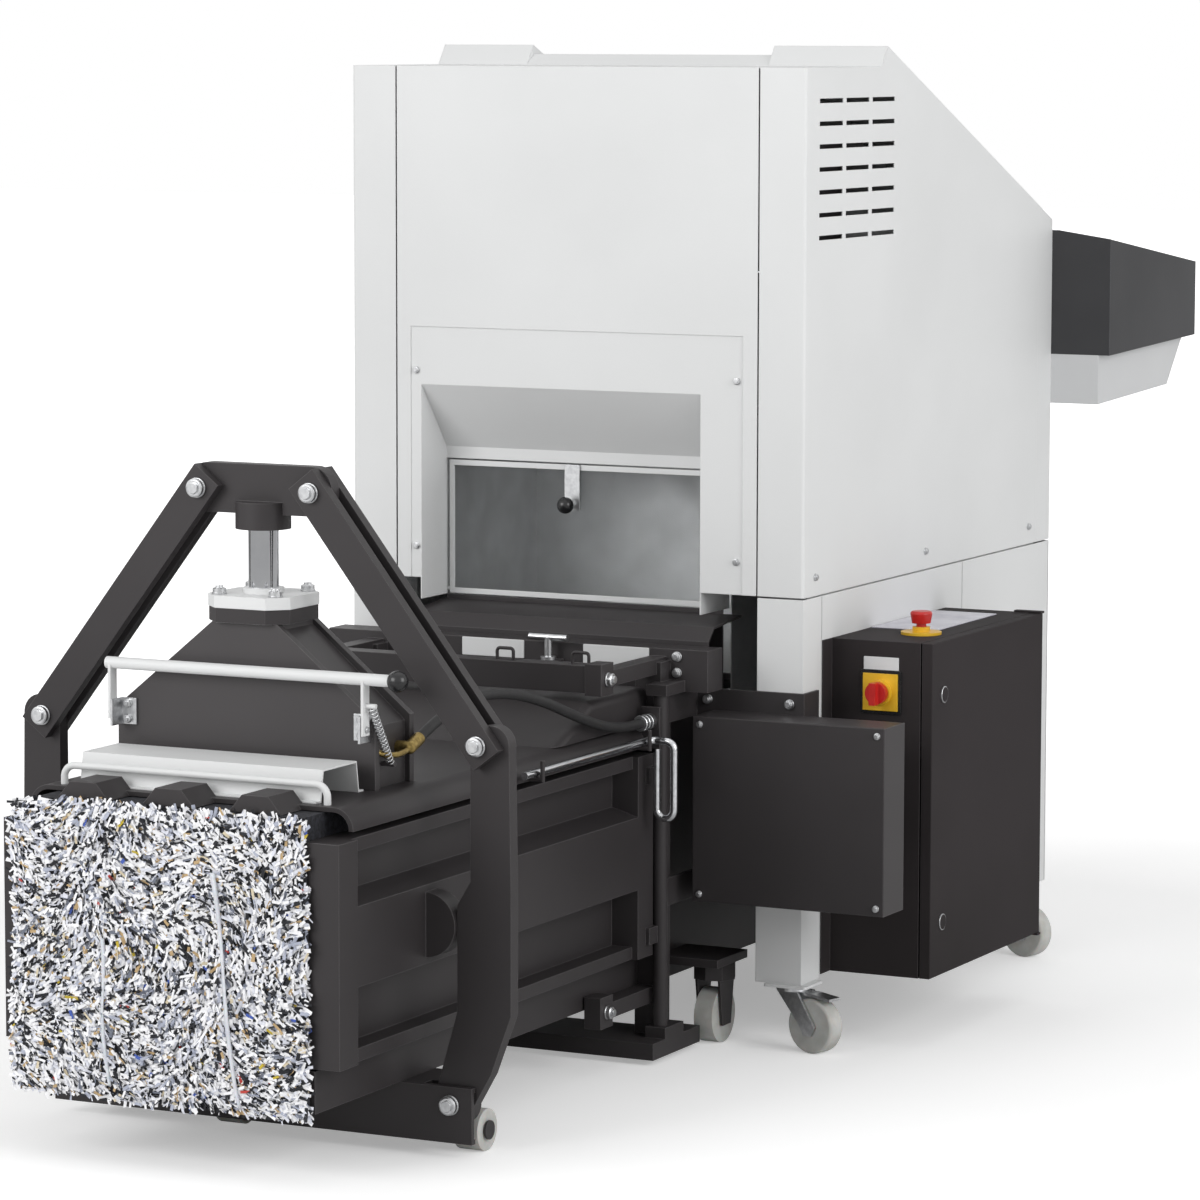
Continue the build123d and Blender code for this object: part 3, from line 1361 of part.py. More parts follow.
with BuildPart() as strap_guide_tray:
    tray_top = channel_top_z + strap_height
    tray_line = [
        (fy - strap_front - strap_lean - strap_foot, channel_top_z + strap_sheet),
        (fy - strap_front - strap_lean, channel_top_z + strap_sheet),
        (fy - strap_front, tray_top),
        (fy - strap_rear, tray_top),
        (fy - strap_rear + strap_lean, channel_top_z + strap_sheet),
        (fy - strap_rear + strap_lean + strap_foot, channel_top_z + strap_sheet),
    ]
    folded(side_plane(cx - strap_half), tray_line[::-1], strap_sheet, 2 * strap_half)
save(strap_guide_tray, "strap_guide_tray")

# Pressure hose: from the elbow on the clamp cylinder to the bracket on the channel top
route = [Vector(tx + x, fy + y, z) for x, y, z in hose_route]
hose_out = (route[1] - route[0]).normalized()
corner = route[0] - hose_out * elbow_length
with BuildPart() as hose_fittings:
    elbow_start = (cx + inner_half, corner.Y, corner.Z)
    bar(elbow_start, (1, 0, 0), corner.X - elbow_start[0], elbow_radius)
    with Locations(corner):
        Sphere(elbow_radius)
    bar(corner, hose_out, elbow_length, elbow_radius)
    bar(route[-1], (0, 1, 0), ferrule_length, ferrule_radius)
save(hose_fittings, "hose_fittings")

corner_radii = []
for before, here, after in zip(route, route[1:], route[2:]):
    turn = (here - before).get_angle(after - here)
    shorter = min((here - before).length, (after - here).length)
    corner_radii.append(bend_share * shorter / tan(radians(turn) / 2))
with BuildPart() as pressure_hose:
    with BuildLine():
        hose_line = FilletPolyline(*route, radius=corner_radii)
    with BuildSketch(Plane(origin=route[0], z_dir=hose_out)):
        Circle(hose_radius)
    sweep()
save(pressure_hose, "pressure_hose")
print("hose length", round(hose_line.length, 1), "radii", [round(radius) for radius in corner_radii])

# Strapping needle: a bright bar with a hanging loop, laid in the hooks of the channel top
needle_x = cx + wall_outer + needle_radius + overrun
needle_z = hook_z + hook_radius + needle_radius
loop_x = (needle_x + needle_loop_shift, needle_x + needle_loop_shift + needle_loop_width)
with BuildPart() as strapping_needle:
    with BuildLine() as needle_path:
        FilletPolyline(
            (needle_x, fy - needle_front_y, needle_z),
            (needle_x, fy - needle_rear_y, needle_z),
            (loop_x[1], fy - needle_rear_y, needle_z),
            (loop_x[1], fy - needle_rear_y, needle_loop_low),
            (loop_x[0], fy - needle_rear_y, needle_loop_low),
            (loop_x[0], fy - needle_rear_y, needle_z - 2 * needle_radius - fit),
            radius=needle_bend,
        )
    with BuildSketch(Plane(origin=needle_path.line @ 0, z_dir=needle_path.line % 0)):
        Circle(needle_radius)
    sweep()
save(strapping_needle, "strapping_needle")

# Locking handle: a T-handled screw in a lug on the outlet beam
with BuildPart() as locking_handle:
    stem_low = lock_lug_z - lock_lug_thick - overrun
    bar((*lock_place, stem_low), (0, 0, 1), lock_grip_z - stem_low, lock_stem_radius)
    bar((*lock_place, lock_lug_z + fit), (0, 0, 1), lock_bar_radius, 2 * lock_stem_radius)
    grip_start = (lock_place[0] - lock_bar_length / 2, lock_place[1], lock_grip_z)
    bar(grip_start, (1, 0, 0), lock_bar_length, lock_bar_radius)
save(locking_handle, "locking_handle")

# Cover beside the outlet: a shell with a folded rim, open at the back, on the two straps
with BuildPart() as hydraulic_cover:
    cover_x = (tx + cover_left, tx + cover_right)
    cover_y = (fy - cover_front, fy - strap_band)
    slab(cover_x, cover_y, (cover_low, cover_high))
    slab((cover_x[0] + sheet, cover_x[1] - sheet), (cover_y[0] + sheet, cover_y[1] - sheet),
         (cover_low + sheet, cover_high - sheet), Mode.SUBTRACT)
    slab((cover_x[0] + cover_flange, cover_x[1] - cover_flange), (cover_y[1] - overrun, cover_y[1] + overrun),
         (cover_low + cover_flange, cover_high - cover_flange), Mode.SUBTRACT)
    front_edges = hydraulic_cover.faces().sort_by(Axis.Y)[0].edges()
    fillet(front_edges, radius=cover_round)
save(hydraulic_cover, "hydraulic_cover")

# Control cabinet: body with its gear plate, door on pivot pins, switch and stop button
cabinet_x = (right_wall, right_wall + cabinet_width)
cabinet_y = (fy + cabinet_front, fy + cabinet_front + cabinet_length)
door_x = (cabinet_x[1] + door_gap, cabinet_x[1] + door_gap + door_depth)
pivot_x = door_x[1] - door_pivot_inset
pivot_y = cabinet_y[1] - door_pivot_inset
door_z = (cabinet_low + fit, cabinet_high - fit)
with BuildPart() as cabinet_body:
    slab(cabinet_x, cabinet_y, (cabinet_low, cabinet_high))
    slab((cabinet_x[0] + sheet, cabinet_x[1] + overrun), (cabinet_y[0] + sheet, cabinet_y[1] - sheet),
         (cabinet_low + sheet, cabinet_high - sheet), Mode.SUBTRACT)
    side_strip = (fy + leg_depth + seam, cabinet_y[0] + sheet)
    slab((cabinet_x[0], cabinet_x[0] + sheet), side_strip, (cabinet_low, cabinet_high))
    lug_x = (cabinet_x[1] - door_lug_reach, pivot_x + door_lug_half)
    lug_y = (pivot_y - door_lug_half, pivot_y + door_lug_half)
    for lug_face, into in ((cabinet_high, 1), (cabinet_low, -1)):
        slab(lug_x, lug_y, span(lug_face, lug_face + into * door_lug))
        bar((pivot_x, pivot_y, lug_face), (0, 0, -into), door_pin_length, door_pin_radius)
    gear_x = (cabinet_x[0] + sheet, cabinet_x[0] + sheet + gear_plate)
    gear_y = (cabinet_y[0] + gear_plate_margin, cabinet_y[1] - gear_plate_margin)
    gear_z = (cabinet_low + gear_plate_margin, cabinet_high - gear_plate_margin)
    slab(gear_x, gear_y, gear_z)
    row_pitch = (gear_z[1] - gear_z[0]) / gear_rows
    for row in range(gear_rows):
        row_z = gear_z[0] + (row + 1 / 2) * row_pitch
        row_y = (gear_y[0] + gear_plate_margin, gear_y[1] - (row + 1) * gear_plate_margin)
        slab((gear_x[1], gear_x[1] + gear_depth), row_y, (row_z - gear_height / 2, row_z + gear_height / 2))
save(cabinet_body, "cabinet_body")

with BuildPart() as cabinet_door:
    slab(door_x, cabinet_y, door_z)
    slab((door_x[0] - overrun, door_x[1] - sheet), (cabinet_y[0] + sheet, cabinet_y[1] - sheet),
         (door_z[0] + sheet, door_z[1] - sheet), Mode.SUBTRACT)
    front_edges = cabinet_door.faces().sort_by(Axis.X)[-1].edges()
    fillet(front_edges, radius=door_round)
    for pin_z in (cabinet_low - overrun, cabinet_high - 2 * overrun):
        bar((pivot_x, pivot_y, pin_z), (0, 0, 1), 3 * overrun, door_pin_radius + fit, Mode.SUBTRACT)
    for lock_face_z in (lock_low, lock_high):
        lock_seat = (door_x[1], cabinet_y[0] + lock_inset, lock_face_z)
        bar(lock_seat, (1, 0, 0), lock_proud, lock_radius)
save(cabinet_door, "cabinet_door")

switch_seat = (tx + switch_x, cabinet_y[0], switch_z)
boss_face = cabinet_y[0] - switch_thick - switch_boss
estop_place = (tx + estop_x, fy + estop_y)
neck_top = cabinet_high + estop_disc + estop_neck
head_low = neck_top + estop_travel + fit
stem_floor = head_low - estop_stem - estop_travel - fit
with BuildPart() as switch_mounts:
    plate_x = (switch_seat[0] - switch_size / 2, switch_seat[0] + switch_size / 2)
    plate_z = (switch_z - switch_size / 2, switch_z + switch_size / 2)
    slab(plate_x, (cabinet_y[0] - switch_thick, cabinet_y[0]), plate_z)
    bar((switch_seat[0], cabinet_y[0] - switch_thick, switch_z), (0, -1, 0), switch_boss, switch_boss_radius)
    bar((switch_seat[0], boss_face, switch_z), (0, 1, 0), switch_boss, switch_spindle + fit, Mode.SUBTRACT)
    bar((*estop_place, cabinet_high), (0, 0, 1), estop_disc, estop_disc_radius)
    bar((*estop_place, cabinet_high + estop_disc), (0, 0, 1), estop_neck, estop_neck_radius)
    stem_hole = neck_top - stem_floor + overrun
    bar((*estop_place, stem_floor), (0, 0, 1), stem_hole, estop_stem_radius + fit, Mode.SUBTRACT)
save(switch_mounts, "switch_mounts")

with BuildPart() as switch_knob:
    bar((switch_seat[0], boss_face - fit, switch_z), (0, -1, 0), switch_knob_depth, switch_knob_radius)
    bar((switch_seat[0], boss_face - fit, switch_z), (0, 1, 0), switch_boss - fit, switch_spindle)
    grip_y = boss_face - fit - switch_knob_depth
    slab((switch_seat[0] - switch_lever_width / 2, switch_seat[0] + switch_lever_width / 2),
         (grip_y - switch_lever_height, grip_y),
         (switch_z - switch_knob_radius, switch_z + switch_knob_radius))
save(switch_knob, "switch_knob")

with BuildPart() as estop_button:
    with Locations((*estop_place, head_low)):
        Cone(estop_foot_radius, estop_head_radius, estop_head, align=(Align.CENTER, Align.CENTER, Align.MIN))
    rim = estop_button.edges().filter_by(GeomType.CIRCLE).sort_by(Axis.Z)[-1]
    fillet(rim, radius=estop_rim)
    bar((*estop_place, head_low), (0, 0, -1), estop_stem, estop_stem_radius)
save(estop_button, "estop_button")

# Castors under the stand: swivel forks with a brake pedal at the front, and wheels
heading = Vector(cos(radians(fork_heading)), sin(radians(fork_heading)), 0)
axle_way = Vector(heading.Y, -heading.X, 0)
crown_top = leg_low - castor_plate_thick
crown_low = crown_top - fork_crown
for place_name, (swivel_x, swivel_y) in swivels.items():
    swivel = Vector(swivel_x, swivel_y, 0)
    hub = swivel + heading * fork_trail + Vector(0, 0, wheel_radius)
    cheek_outline = [
        (-fork_foot, crown_low),
        (fork_crown_radius, crown_low),
        (fork_trail + fork_foot, wheel_radius),
        (fork_trail + fork_foot / 2, wheel_radius - fork_foot),
        (fork_trail - fork_foot / 2, wheel_radius - fork_foot),
        (fork_trail - fork_foot, wheel_radius),
    ]
    with BuildPart() as castor_fork:
        bar((swivel_x, swivel_y, crown_low), (0, 0, 1), fork_crown, fork_crown_radius)
        for start in (cheek_gap, -cheek_gap - fork_sheet):
            cheek_plane = Plane(origin=swivel + axle_way * start, x_dir=heading, z_dir=axle_way)
            prism(cheek_plane, cheek_outline, fork_sheet)
        bar(hub - axle_way * cheek_gap, axle_way, 2 * cheek_gap, axle_radius)
        if place_name.startswith("front"):
            pedal_outline = [
                (0, crown_low),
                (0, crown_low - brake_thick),
                (fork_trail, crown_low - brake_thick),
                (fork_trail + brake_reach, crown_low - 2 * brake_thick),
                (fork_trail + brake_reach, crown_low - brake_thick),
                (fork_trail, crown_low),
            ]
            pedal_plane = Plane(origin=swivel - axle_way * brake_width / 2, x_dir=heading, z_dir=axle_way)
            prism(pedal_plane, pedal_outline, brake_width)
    save(castor_fork, f"castor_fork_{place_name}")

    with BuildPart() as castor_wheel:
        bar(hub - axle_way * wheel_width / 2, axle_way, wheel_width, wheel_radius)
        rims = castor_wheel.edges().filter_by(GeomType.CIRCLE)
        fillet(rims, radius=wheel_round)
        bar(hub - axle_way * wheel_width, axle_way, 2 * wheel_width, wheel_bore, Mode.SUBTRACT)
    save(castor_wheel, f"castor_wheel_{place_name}")

with BuildPart() as baler_wheels:
    for castor_x in (cx + baler_castor_right, cx - baler_castor_left):
        start = (castor_x - wheel_width / 2, fy - baler_castor_y, wheel_radius)
        bar(start, (1, 0, 0), wheel_width, wheel_radius)
        bore = (start[0] - overrun, start[1], wheel_radius)
        bar(bore, (1, 0, 0), wheel_width + 2 * overrun, wheel_bore, Mode.SUBTRACT)
save(baler_wheels, "baler_wheels")

# Bale: pressed shreds that fill the channel and swell out of its mouth
with BuildPart() as bale:
    bale_half = channel_half - fit
    mouth_y = (fy - bale_front, channel_y[0] - bale_clearance)
    bale_y = (mouth_y[1], fy - bale_rear)
    slab((cx - bale_half, cx + bale_half), bale_y, (channel_floor_z + fit, channel_roof_z - fit))
    swell_x = (cx - channel_half - bale_spill, cx + channel_half + bale_bulge)
    slab(swell_x, mouth_y, (channel_floor_z - bale_sag, channel_roof_z - bale_bulge / 2))
    front_edges = bale.faces().sort_by(Axis.Y)[0].edges()
    fillet(front_edges, radius=bale_round)
save(bale, "bale")
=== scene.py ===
# %% [markdown]
# # A recycling baler with a cutting tower
# The machine cuts paper in the white tower, presses the shreds in the black channel below it and
# pushes a strapped bale out at the front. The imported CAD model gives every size, so this file only
# adds what a CAD model lacks: finishes, the bale's shreds, the coiled spring, the hose and the
# small fasteners. The machine's lengths are in millimetres and turned to metres once. The camera,
# the lamps and the fade of the floor are in metres.

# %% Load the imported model
import math

import bpy
import numpy as np
from mathutils import Matrix, Vector


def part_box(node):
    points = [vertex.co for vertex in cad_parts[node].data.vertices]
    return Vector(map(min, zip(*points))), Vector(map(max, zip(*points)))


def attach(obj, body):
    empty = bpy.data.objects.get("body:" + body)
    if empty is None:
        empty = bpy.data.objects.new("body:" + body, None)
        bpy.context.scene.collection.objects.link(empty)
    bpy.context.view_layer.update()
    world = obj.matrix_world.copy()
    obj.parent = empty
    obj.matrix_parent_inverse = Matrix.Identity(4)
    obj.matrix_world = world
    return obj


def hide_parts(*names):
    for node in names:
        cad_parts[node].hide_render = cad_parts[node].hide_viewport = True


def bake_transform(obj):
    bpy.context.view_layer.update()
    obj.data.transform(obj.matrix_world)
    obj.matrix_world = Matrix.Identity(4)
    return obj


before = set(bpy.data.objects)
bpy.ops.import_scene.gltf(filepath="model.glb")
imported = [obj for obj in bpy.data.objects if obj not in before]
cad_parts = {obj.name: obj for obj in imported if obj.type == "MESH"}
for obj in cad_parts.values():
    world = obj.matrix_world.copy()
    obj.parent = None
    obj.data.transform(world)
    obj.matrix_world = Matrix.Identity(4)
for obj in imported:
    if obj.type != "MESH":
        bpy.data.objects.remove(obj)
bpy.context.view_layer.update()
MM = 0.001

# %% [markdown]
# ## Camera
# The photograph was taken with a long lens from the front right, a little above the machine. The
# angles were fitted to straight edges of the tower, so the camera's axes are written out from
# azimuth, pitch and roll instead of pointing it at a target.

# %% Camera
PHOTO_PIXELS = 1200
FOCAL_PIXELS = 5003.6
SENSOR_WIDTH = 36.0
CAMERA_PLACE = (4.0216, -8.2520, 1.8250)
azimuth, pitch, roll = (math.radians(angle) for angle in (26.388, -6.505, 0.112))
forward = Vector((-math.sin(azimuth) * math.cos(pitch), math.cos(azimuth) * math.cos(pitch), math.sin(pitch)))
level = Vector((math.cos(azimuth), math.sin(azimuth), 0))
upward = level.cross(forward)
right = math.cos(roll) * level + math.sin(roll) * upward
up = math.cos(roll) * upward - math.sin(roll) * level

camera_data = bpy.data.cameras.new("photo_camera")
camera_data.sensor_width = SENSOR_WIDTH
camera_data.lens = FOCAL_PIXELS * SENSOR_WIDTH / PHOTO_PIXELS
camera_data.clip_end = 200
camera = bpy.data.objects.new("photo_camera", camera_data)
bpy.context.scene.collection.objects.link(camera)
turn = Matrix((right, up, -forward)).transposed().to_4x4()
camera.matrix_world = Matrix.Translation(CAMERA_PLACE) @ turn
bpy.context.scene.camera = camera
bpy.context.scene.view_settings.view_transform = "Standard"
print("lens", round(camera_data.lens, 1), "mm")

# %% [markdown]
# ## Colours and nodes
# A colour picked from a picture is in sRGB, but shaders want linear light. One function turns a
# hex value to linear. A second one adds a node, sets its sockets and links them, so that each
# finish below reads as a short recipe.


# %% Helpers for finishes
def linear(hex_colour):
    """Linear RGBA of an sRGB hex colour: each channel through the sRGB curve."""
    channels = [int(hex_colour[place:place + 2], 16) / 255 for place in (1, 3, 5)]
    curve = [c / 12.92 if c <= 0.04045 else ((c + 0.055) / 1.055) ** 2.4 for c in channels]
    return (*curve, 1.0)


def add_node(tree, kind, sockets=None, links=None, **settings):
    """Adds one node: properties by keyword, socket values by name, links as name: (node, output)."""
    node = tree.nodes.new(kind)
    for name, value in settings.items():
        setattr(node, name, value)
    for name, value in (sockets or {}).items():
        node.inputs[name].default_value = value
    for name, (source, output) in (links or {}).items():
        tree.links.new(source.outputs[output], node.inputs[name])
    return node


def start_finish(name):
    """An empty material, its node tree and the node that gives the object's own coordinates."""
    material = bpy.data.materials.new(name)
    material.use_nodes = True
    tree = material.node_tree
    tree.nodes.clear()
    place = add_node(tree, "ShaderNodeTexCoord")
    return material, tree, place


def close_finish(tree, shader):
    """Links the finished shader to the material's output."""
    add_node(tree, "ShaderNodeOutputMaterial", links={"Surface": (shader, 0)})


def two_tones(tree, source, output, first, second, spread=(0.35, 0.65)):
    """A colour ramp between two hex tones over the given part of a pattern."""
    ramp = add_node(tree, "ShaderNodeValToRGB", links={"Fac": (source, output)})
    ramp.color_ramp.elements[0].position = spread[0]
    ramp.color_ramp.elements[0].color = linear(first)
    ramp.color_ramp.elements[1].position = spread[1]
    ramp.color_ramp.elements[1].color = linear(second)
    return ramp


# %% [markdown]
# ## Powder coat
# The sheet metal is powder coated: dry paint is sprayed on and melted, which leaves a fine orange
# peel. Two noises do that: a coarse one shifts the tone a little over half a metre, and a fine one
# lifts the surface. The real grain is about a millimetre, too fine for this picture, so it is drawn
# four times as coarse. The Bevel node rounds the light on the sharp CAD edges, and where the
# rounded normal leaves the flat one there is an edge. There the coat is painted lighter: partly
# where a coat is rubbed thin, partly a painted highlight where the edges catch the light. The
# dark coats have a lower index than the pale ones, so that they mirror less of the white studio.


# %% Powder coat finishes
TONE_PATCH = 450


def powder_coat(name, tone, other_tone, edge_wear_and_highlight_tone, roughness, grain_mm=4.0, lift_mm=0.12, edge_mm=2.0,
                ior=1.5):
    """Painted steel: two tones on a slow noise, lighter edges that are partly wear and partly a painted
    highlight, and a fine raised grain.
    """
    material, tree, place = start_finish(name)
    slow = add_node(tree, "ShaderNodeTexNoise", {"Scale": 1 / (TONE_PATCH * MM), "Detail": 3.0},
                    {"Vector": (place, "Object")})
    tones = two_tones(tree, slow, 0, tone, other_tone)
    rounded = add_node(tree, "ShaderNodeBevel", {"Radius": edge_mm * MM}, samples=6)
    flat = add_node(tree, "ShaderNodeNewGeometry")
    same = add_node(tree, "ShaderNodeVectorMath", links={0: (rounded, 0), 1: (flat, "Normal")},
                    operation="DOT_PRODUCT")
    # Mask along the edges: the coat is painted lighter there, partly rubbed wear and partly a painted
    # highlight.
    edge_wear_and_highlight_mask = add_node(tree, "ShaderNodeMapRange",
                    {"From Min": 0.995, "From Max": 0.85, "To Min": 0.0, "To Max": 0.75},
                    {"Value": (same, "Value")})
    colour = add_node(tree, "ShaderNodeMix", {7: linear(edge_wear_and_highlight_tone)},
                      {0: (edge_wear_and_highlight_mask, 0), 6: (tones, 0)}, data_type="RGBA")
    grain = add_node(tree, "ShaderNodeTexNoise", {"Scale": 1 / (grain_mm * MM), "Detail": 2.0},
                     {"Vector": (place, "Object")})
    gloss = add_node(tree, "ShaderNodeMapRange", {"To Min": roughness - 0.06, "To Max": roughness + 0.06},
                     {"Value": (slow, 0)})
    relief = add_node(tree, "ShaderNodeBump", {"Strength": 0.5, "Distance": lift_mm * MM},
                      {"Height": (grain, 0), "Normal": (rounded, 0)})
    shader = add_node(tree, "ShaderNodeBsdfPrincipled", {"IOR": ior},
                      {"Base Color": (colour, 2), "Roughness": (gloss, 0), "Normal": (relief, 0)})
    close_finish(tree, shader)
    return material


# The third colour of each coat is its lighter edges: partly rubbed wear, partly a painted highlight.
white_coat = powder_coat("white_powder_coat", "#e6e7e7", "#e1e2e2", "#f2f2f2", 0.5, lift_mm=0.2)
black_coat = powder_coat("black_satin_powder_coat", "#3a3738", "#322f30", "#686566", 0.46, ior=1.36)
door_coat = powder_coat("black_textured_powder_coat", "#332f30", "#2c2929", "#5a5758", 0.7, ior=1.2)
grey_coat = powder_coat("grey_powder_coat", "#454243", "#3e3b3c", "#757273", 0.45, ior=1.42)
pan_coat = powder_coat("pale_grey_powder_coat", "#dadbdc", "#d3d4d5", "#e6e6e6", 0.5)
tray_coat = powder_coat("anthracite_textured_coat", "#434345", "#39393b", "#6f6f72", 0.6, lift_mm=0.25,
                        ior=1.42)
print("coats", [coat.name for coat in (white_coat, black_coat, door_coat, grey_coat, pan_coat, tray_coat)])

# %% [markdown]
# ## Metals
# Zinc plate on bolts, brackets and forks is pale and a little cloudy. Hard chrome on the rod is a
# mirror. Drawn and brushed steel have long fine lines, the galvanised chute is pale and dull, and
# the hose fittings are turned brass. All are metallic with the default index; only colour,
# roughness and the pattern's stretch tell them apart.


# %% Metal finishes
def metal(name, tone, other_tone, roughness, spot_mm, stretch=(1, 1, 1), lift_mm=0.0):
    """Bare or plated metal: two tones and a roughness that follow one stretched noise."""
    material, tree, place = start_finish(name)
    along = add_node(tree, "ShaderNodeMapping", {"Scale": stretch}, {"Vector": (place, "Object")})
    cloud = add_node(tree, "ShaderNodeTexNoise", {"Scale": 1 / (spot_mm * MM), "Detail": 4.0},
                     {"Vector": (along, 0)})
    tones = two_tones(tree, cloud, 0, tone, other_tone)
    gloss = add_node(tree, "ShaderNodeMapRange", {"To Min": roughness * 0.7, "To Max": roughness * 1.3},
                     {"Value": (cloud, 0)})
    rounded = add_node(tree, "ShaderNodeBevel", {"Radius": 0.8 * MM}, samples=4)
    relief = add_node(tree, "ShaderNodeBump", {"Strength": 0.4, "Distance": lift_mm * MM},
                      {"Height": (cloud, 0), "Normal": (rounded, 0)})
    shader = add_node(tree, "ShaderNodeBsdfPrincipled", {"Metallic": 1.0},
                      {"Base Color": (tones, 0), "Roughness": (gloss, 0), "Normal": (relief, 0)})
    close_finish(tree, shader)
    return material


zinc = metal("zinc_plate", "#d4d5d6", "#b9babc", 0.32, 9.0, lift_mm=0.05)
chrome = metal("hard_chrome", "#dcdddf", "#d2d3d6", 0.10, 40.0)
bright_steel = metal("drawn_bright_steel", "#d6d7d9", "#bfc0c3", 0.20, 5.0, stretch=(1, 0.08, 1))
sheet_steel = metal("brushed_sheet_steel", "#a9aaac", "#98999b", 0.38, 4.0, stretch=(1, 1, 0.03),
                    lift_mm=0.05)
galvanised = metal("galvanised_sheet", "#d9dadb", "#d0d1d2", 0.5, 60.0)
brass = metal("turned_brass", "#a08b56", "#7d6b40", 0.38, 6.0)
print("metals", [m.name for m in (zinc, chrome, bright_steel, sheet_steel, galvanised, brass)])

# %% [markdown]
# ## Plastics, rubber and the clear pane
# The wheels are cast nylon, cloudy and nearly white. The switch and the stop button are moulded and
# glossy. The hose has a smooth rubber cover. The pane is clear polycarbonate: a transmitting
# shader lets the chute show through, and its index is set low, because a thin sheet hardly bends
# the view.


# %% Plastic finishes
def moulded(name, tone, other_tone, roughness, cloud_mm=30.0, lift_mm=0.03, waxy=0.0):
    """Moulded plastic or rubber: two close tones on a slow noise, a faint skin, some waxy depth."""
    material, tree, place = start_finish(name)
    cloud = add_node(tree, "ShaderNodeTexNoise", {"Scale": 1 / (cloud_mm * MM), "Detail": 3.0},
                     {"Vector": (place, "Object")})
    tones = two_tones(tree, cloud, 0, tone, other_tone)
    skin = add_node(tree, "ShaderNodeTexNoise", {"Scale": 1 / (2.5 * MM)}, {"Vector": (place, "Object")})
    rounded = add_node(tree, "ShaderNodeBevel", {"Radius": 1.5 * MM}, samples=4)
    relief = add_node(tree, "ShaderNodeBump", {"Strength": 0.4, "Distance": lift_mm * MM},
                      {"Height": (skin, 0), "Normal": (rounded, 0)})
    shader = add_node(tree, "ShaderNodeBsdfPrincipled",
                      {"Roughness": roughness, "IOR": 1.49, "Subsurface Weight": waxy,
                       "Subsurface Scale": 4 * MM},
                      {"Base Color": (tones, 0), "Normal": (relief, 0)})
    close_finish(tree, shader)
    return material


nylon = moulded("cast_nylon", "#cfcfcb", "#bdbdb8", 0.45, waxy=0.2)
black_plastic = moulded("black_moulded_plastic", "#1b1b1c", "#222223", 0.25)
red_plastic = moulded("red_moulded_plastic", "#cf2a27", "#c02421", 0.3)
yellow_plastic = moulded("yellow_moulded_plastic", "#edbe2e", "#e2b224", 0.35)
rubber = moulded("rubber_hose_cover", "#131213", "#1b1a1b", 0.62, cloud_mm=12.0, lift_mm=0.08)
strap_plastic = moulded("polypropylene_strap", "#e9ebf0", "#d6d9e2", 0.35, cloud_mm=15.0, waxy=0.1)
document_film = moulded("document_film", "#d3d1dc", "#bfbdca", 0.18, cloud_mm=60.0)

clear_pane, pane_tree, pane_place = start_finish("clear_polycarbonate")
pane_dust = add_node(pane_tree, "ShaderNodeTexNoise", {"Scale": 1 / (60 * MM)},
                     {"Vector": (pane_place, "Object")})
pane_gloss = add_node(pane_tree, "ShaderNodeMapRange", {"To Min": 0.02, "To Max": 0.10},
                      {"Value": (pane_dust, 0)})
pane_shader = add_node(pane_tree, "ShaderNodeBsdfPrincipled",
                       {"Base Color": linear("#fbfcfc"), "IOR": 1.15, "Transmission Weight": 0.97},
                       {"Roughness": (pane_gloss, 0)})
close_finish(pane_tree, pane_shader)
print("plastics", [m.name for m in (nylon, red_plastic, yellow_plastic, rubber, strap_plastic, clear_pane)])

# %% [markdown]
# ## Dress the CAD nodes
# Most shapes are already right, so each CAD node only takes a finish. A table from finish to nodes
# is easier to check than sixty lines of assignments. The bale, the spring and the hose are in it
# too, although pieces made below stand in for them.

# %% Finishes on the CAD nodes
finish_table = {
    white_coat: "side_panel_right side_panel_left front_panel window_surround rear_panel skirt_panels "
                "stand_frame roof flap_frame cylinder_flange hand_lever strap_guide_tray strap_guide_bar",
    black_coat: "sill press_frame channel_floor channel_top side_wall_right side_wall_left cross_beam "
                "clamp_arm_right clamp_arm_left clamp_links_right clamp_links_left yoke "
                "hydraulic_cover main_cylinder cutter_drive",
    door_coat: "cabinet_body cabinet_door",
    grey_coat: "cylinder_base",
    pan_coat: "feed_tray_pan",
    tray_coat: "feed_tray",
    zinc: "castor_fork_front_right castor_fork_front_left castor_fork_rear_right castor_fork_rear_left "
          "lever_brackets locking_handle lever_spring",
    chrome: "clamp_rod",
    bright_steel: "strapping_needle press_ram cutting_roller_upper cutting_roller_lower",
    galvanised: "chute_liner",
    sheet_steel: "cutter_frame",
    brass: "hose_fittings",
    nylon: "castor_wheel_front_right castor_wheel_front_left castor_wheel_rear_right castor_wheel_rear_left "
           "baler_wheels front_rollers",
    red_plastic: "switch_knob estop_button",
    yellow_plastic: "switch_mounts",
    rubber: "pressure_hose",
    strap_plastic: "bale",
    clear_pane: "flap_pane",
}
for finish, names in finish_table.items():
    for node_name in names.split():
        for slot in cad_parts[node_name].material_slots:
            slot.material = finish
dressed = sum(len(names.split()) for names in finish_table.values())
print("dressed", dressed, "of", len(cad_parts))

# %% [markdown]
# ## Surfaces from arrays
# A new piece is a grid of points: rows along one parameter, columns along the other. Quads join
# neighbouring points, and a wrapped grid closes on itself.


# %% Helpers for surfaces
def grid_quads(rows, columns, wrap_rows=False, wrap_columns=False):
    """Index quads of a grid: each point with its right, upper right and upper neighbour."""
    row = np.arange(rows if wrap_rows else rows - 1)[:, None]
    column = np.arange(columns if wrap_columns else columns - 1)[None, :]
    next_row, next_column = (row + 1) % rows, (column + 1) % columns
    corners = (row * columns + column, row * columns + next_column,
               next_row * columns + next_column, next_row * columns + column)
    return np.stack(np.broadcast_arrays(*corners), axis=-1).reshape(-1, 4)


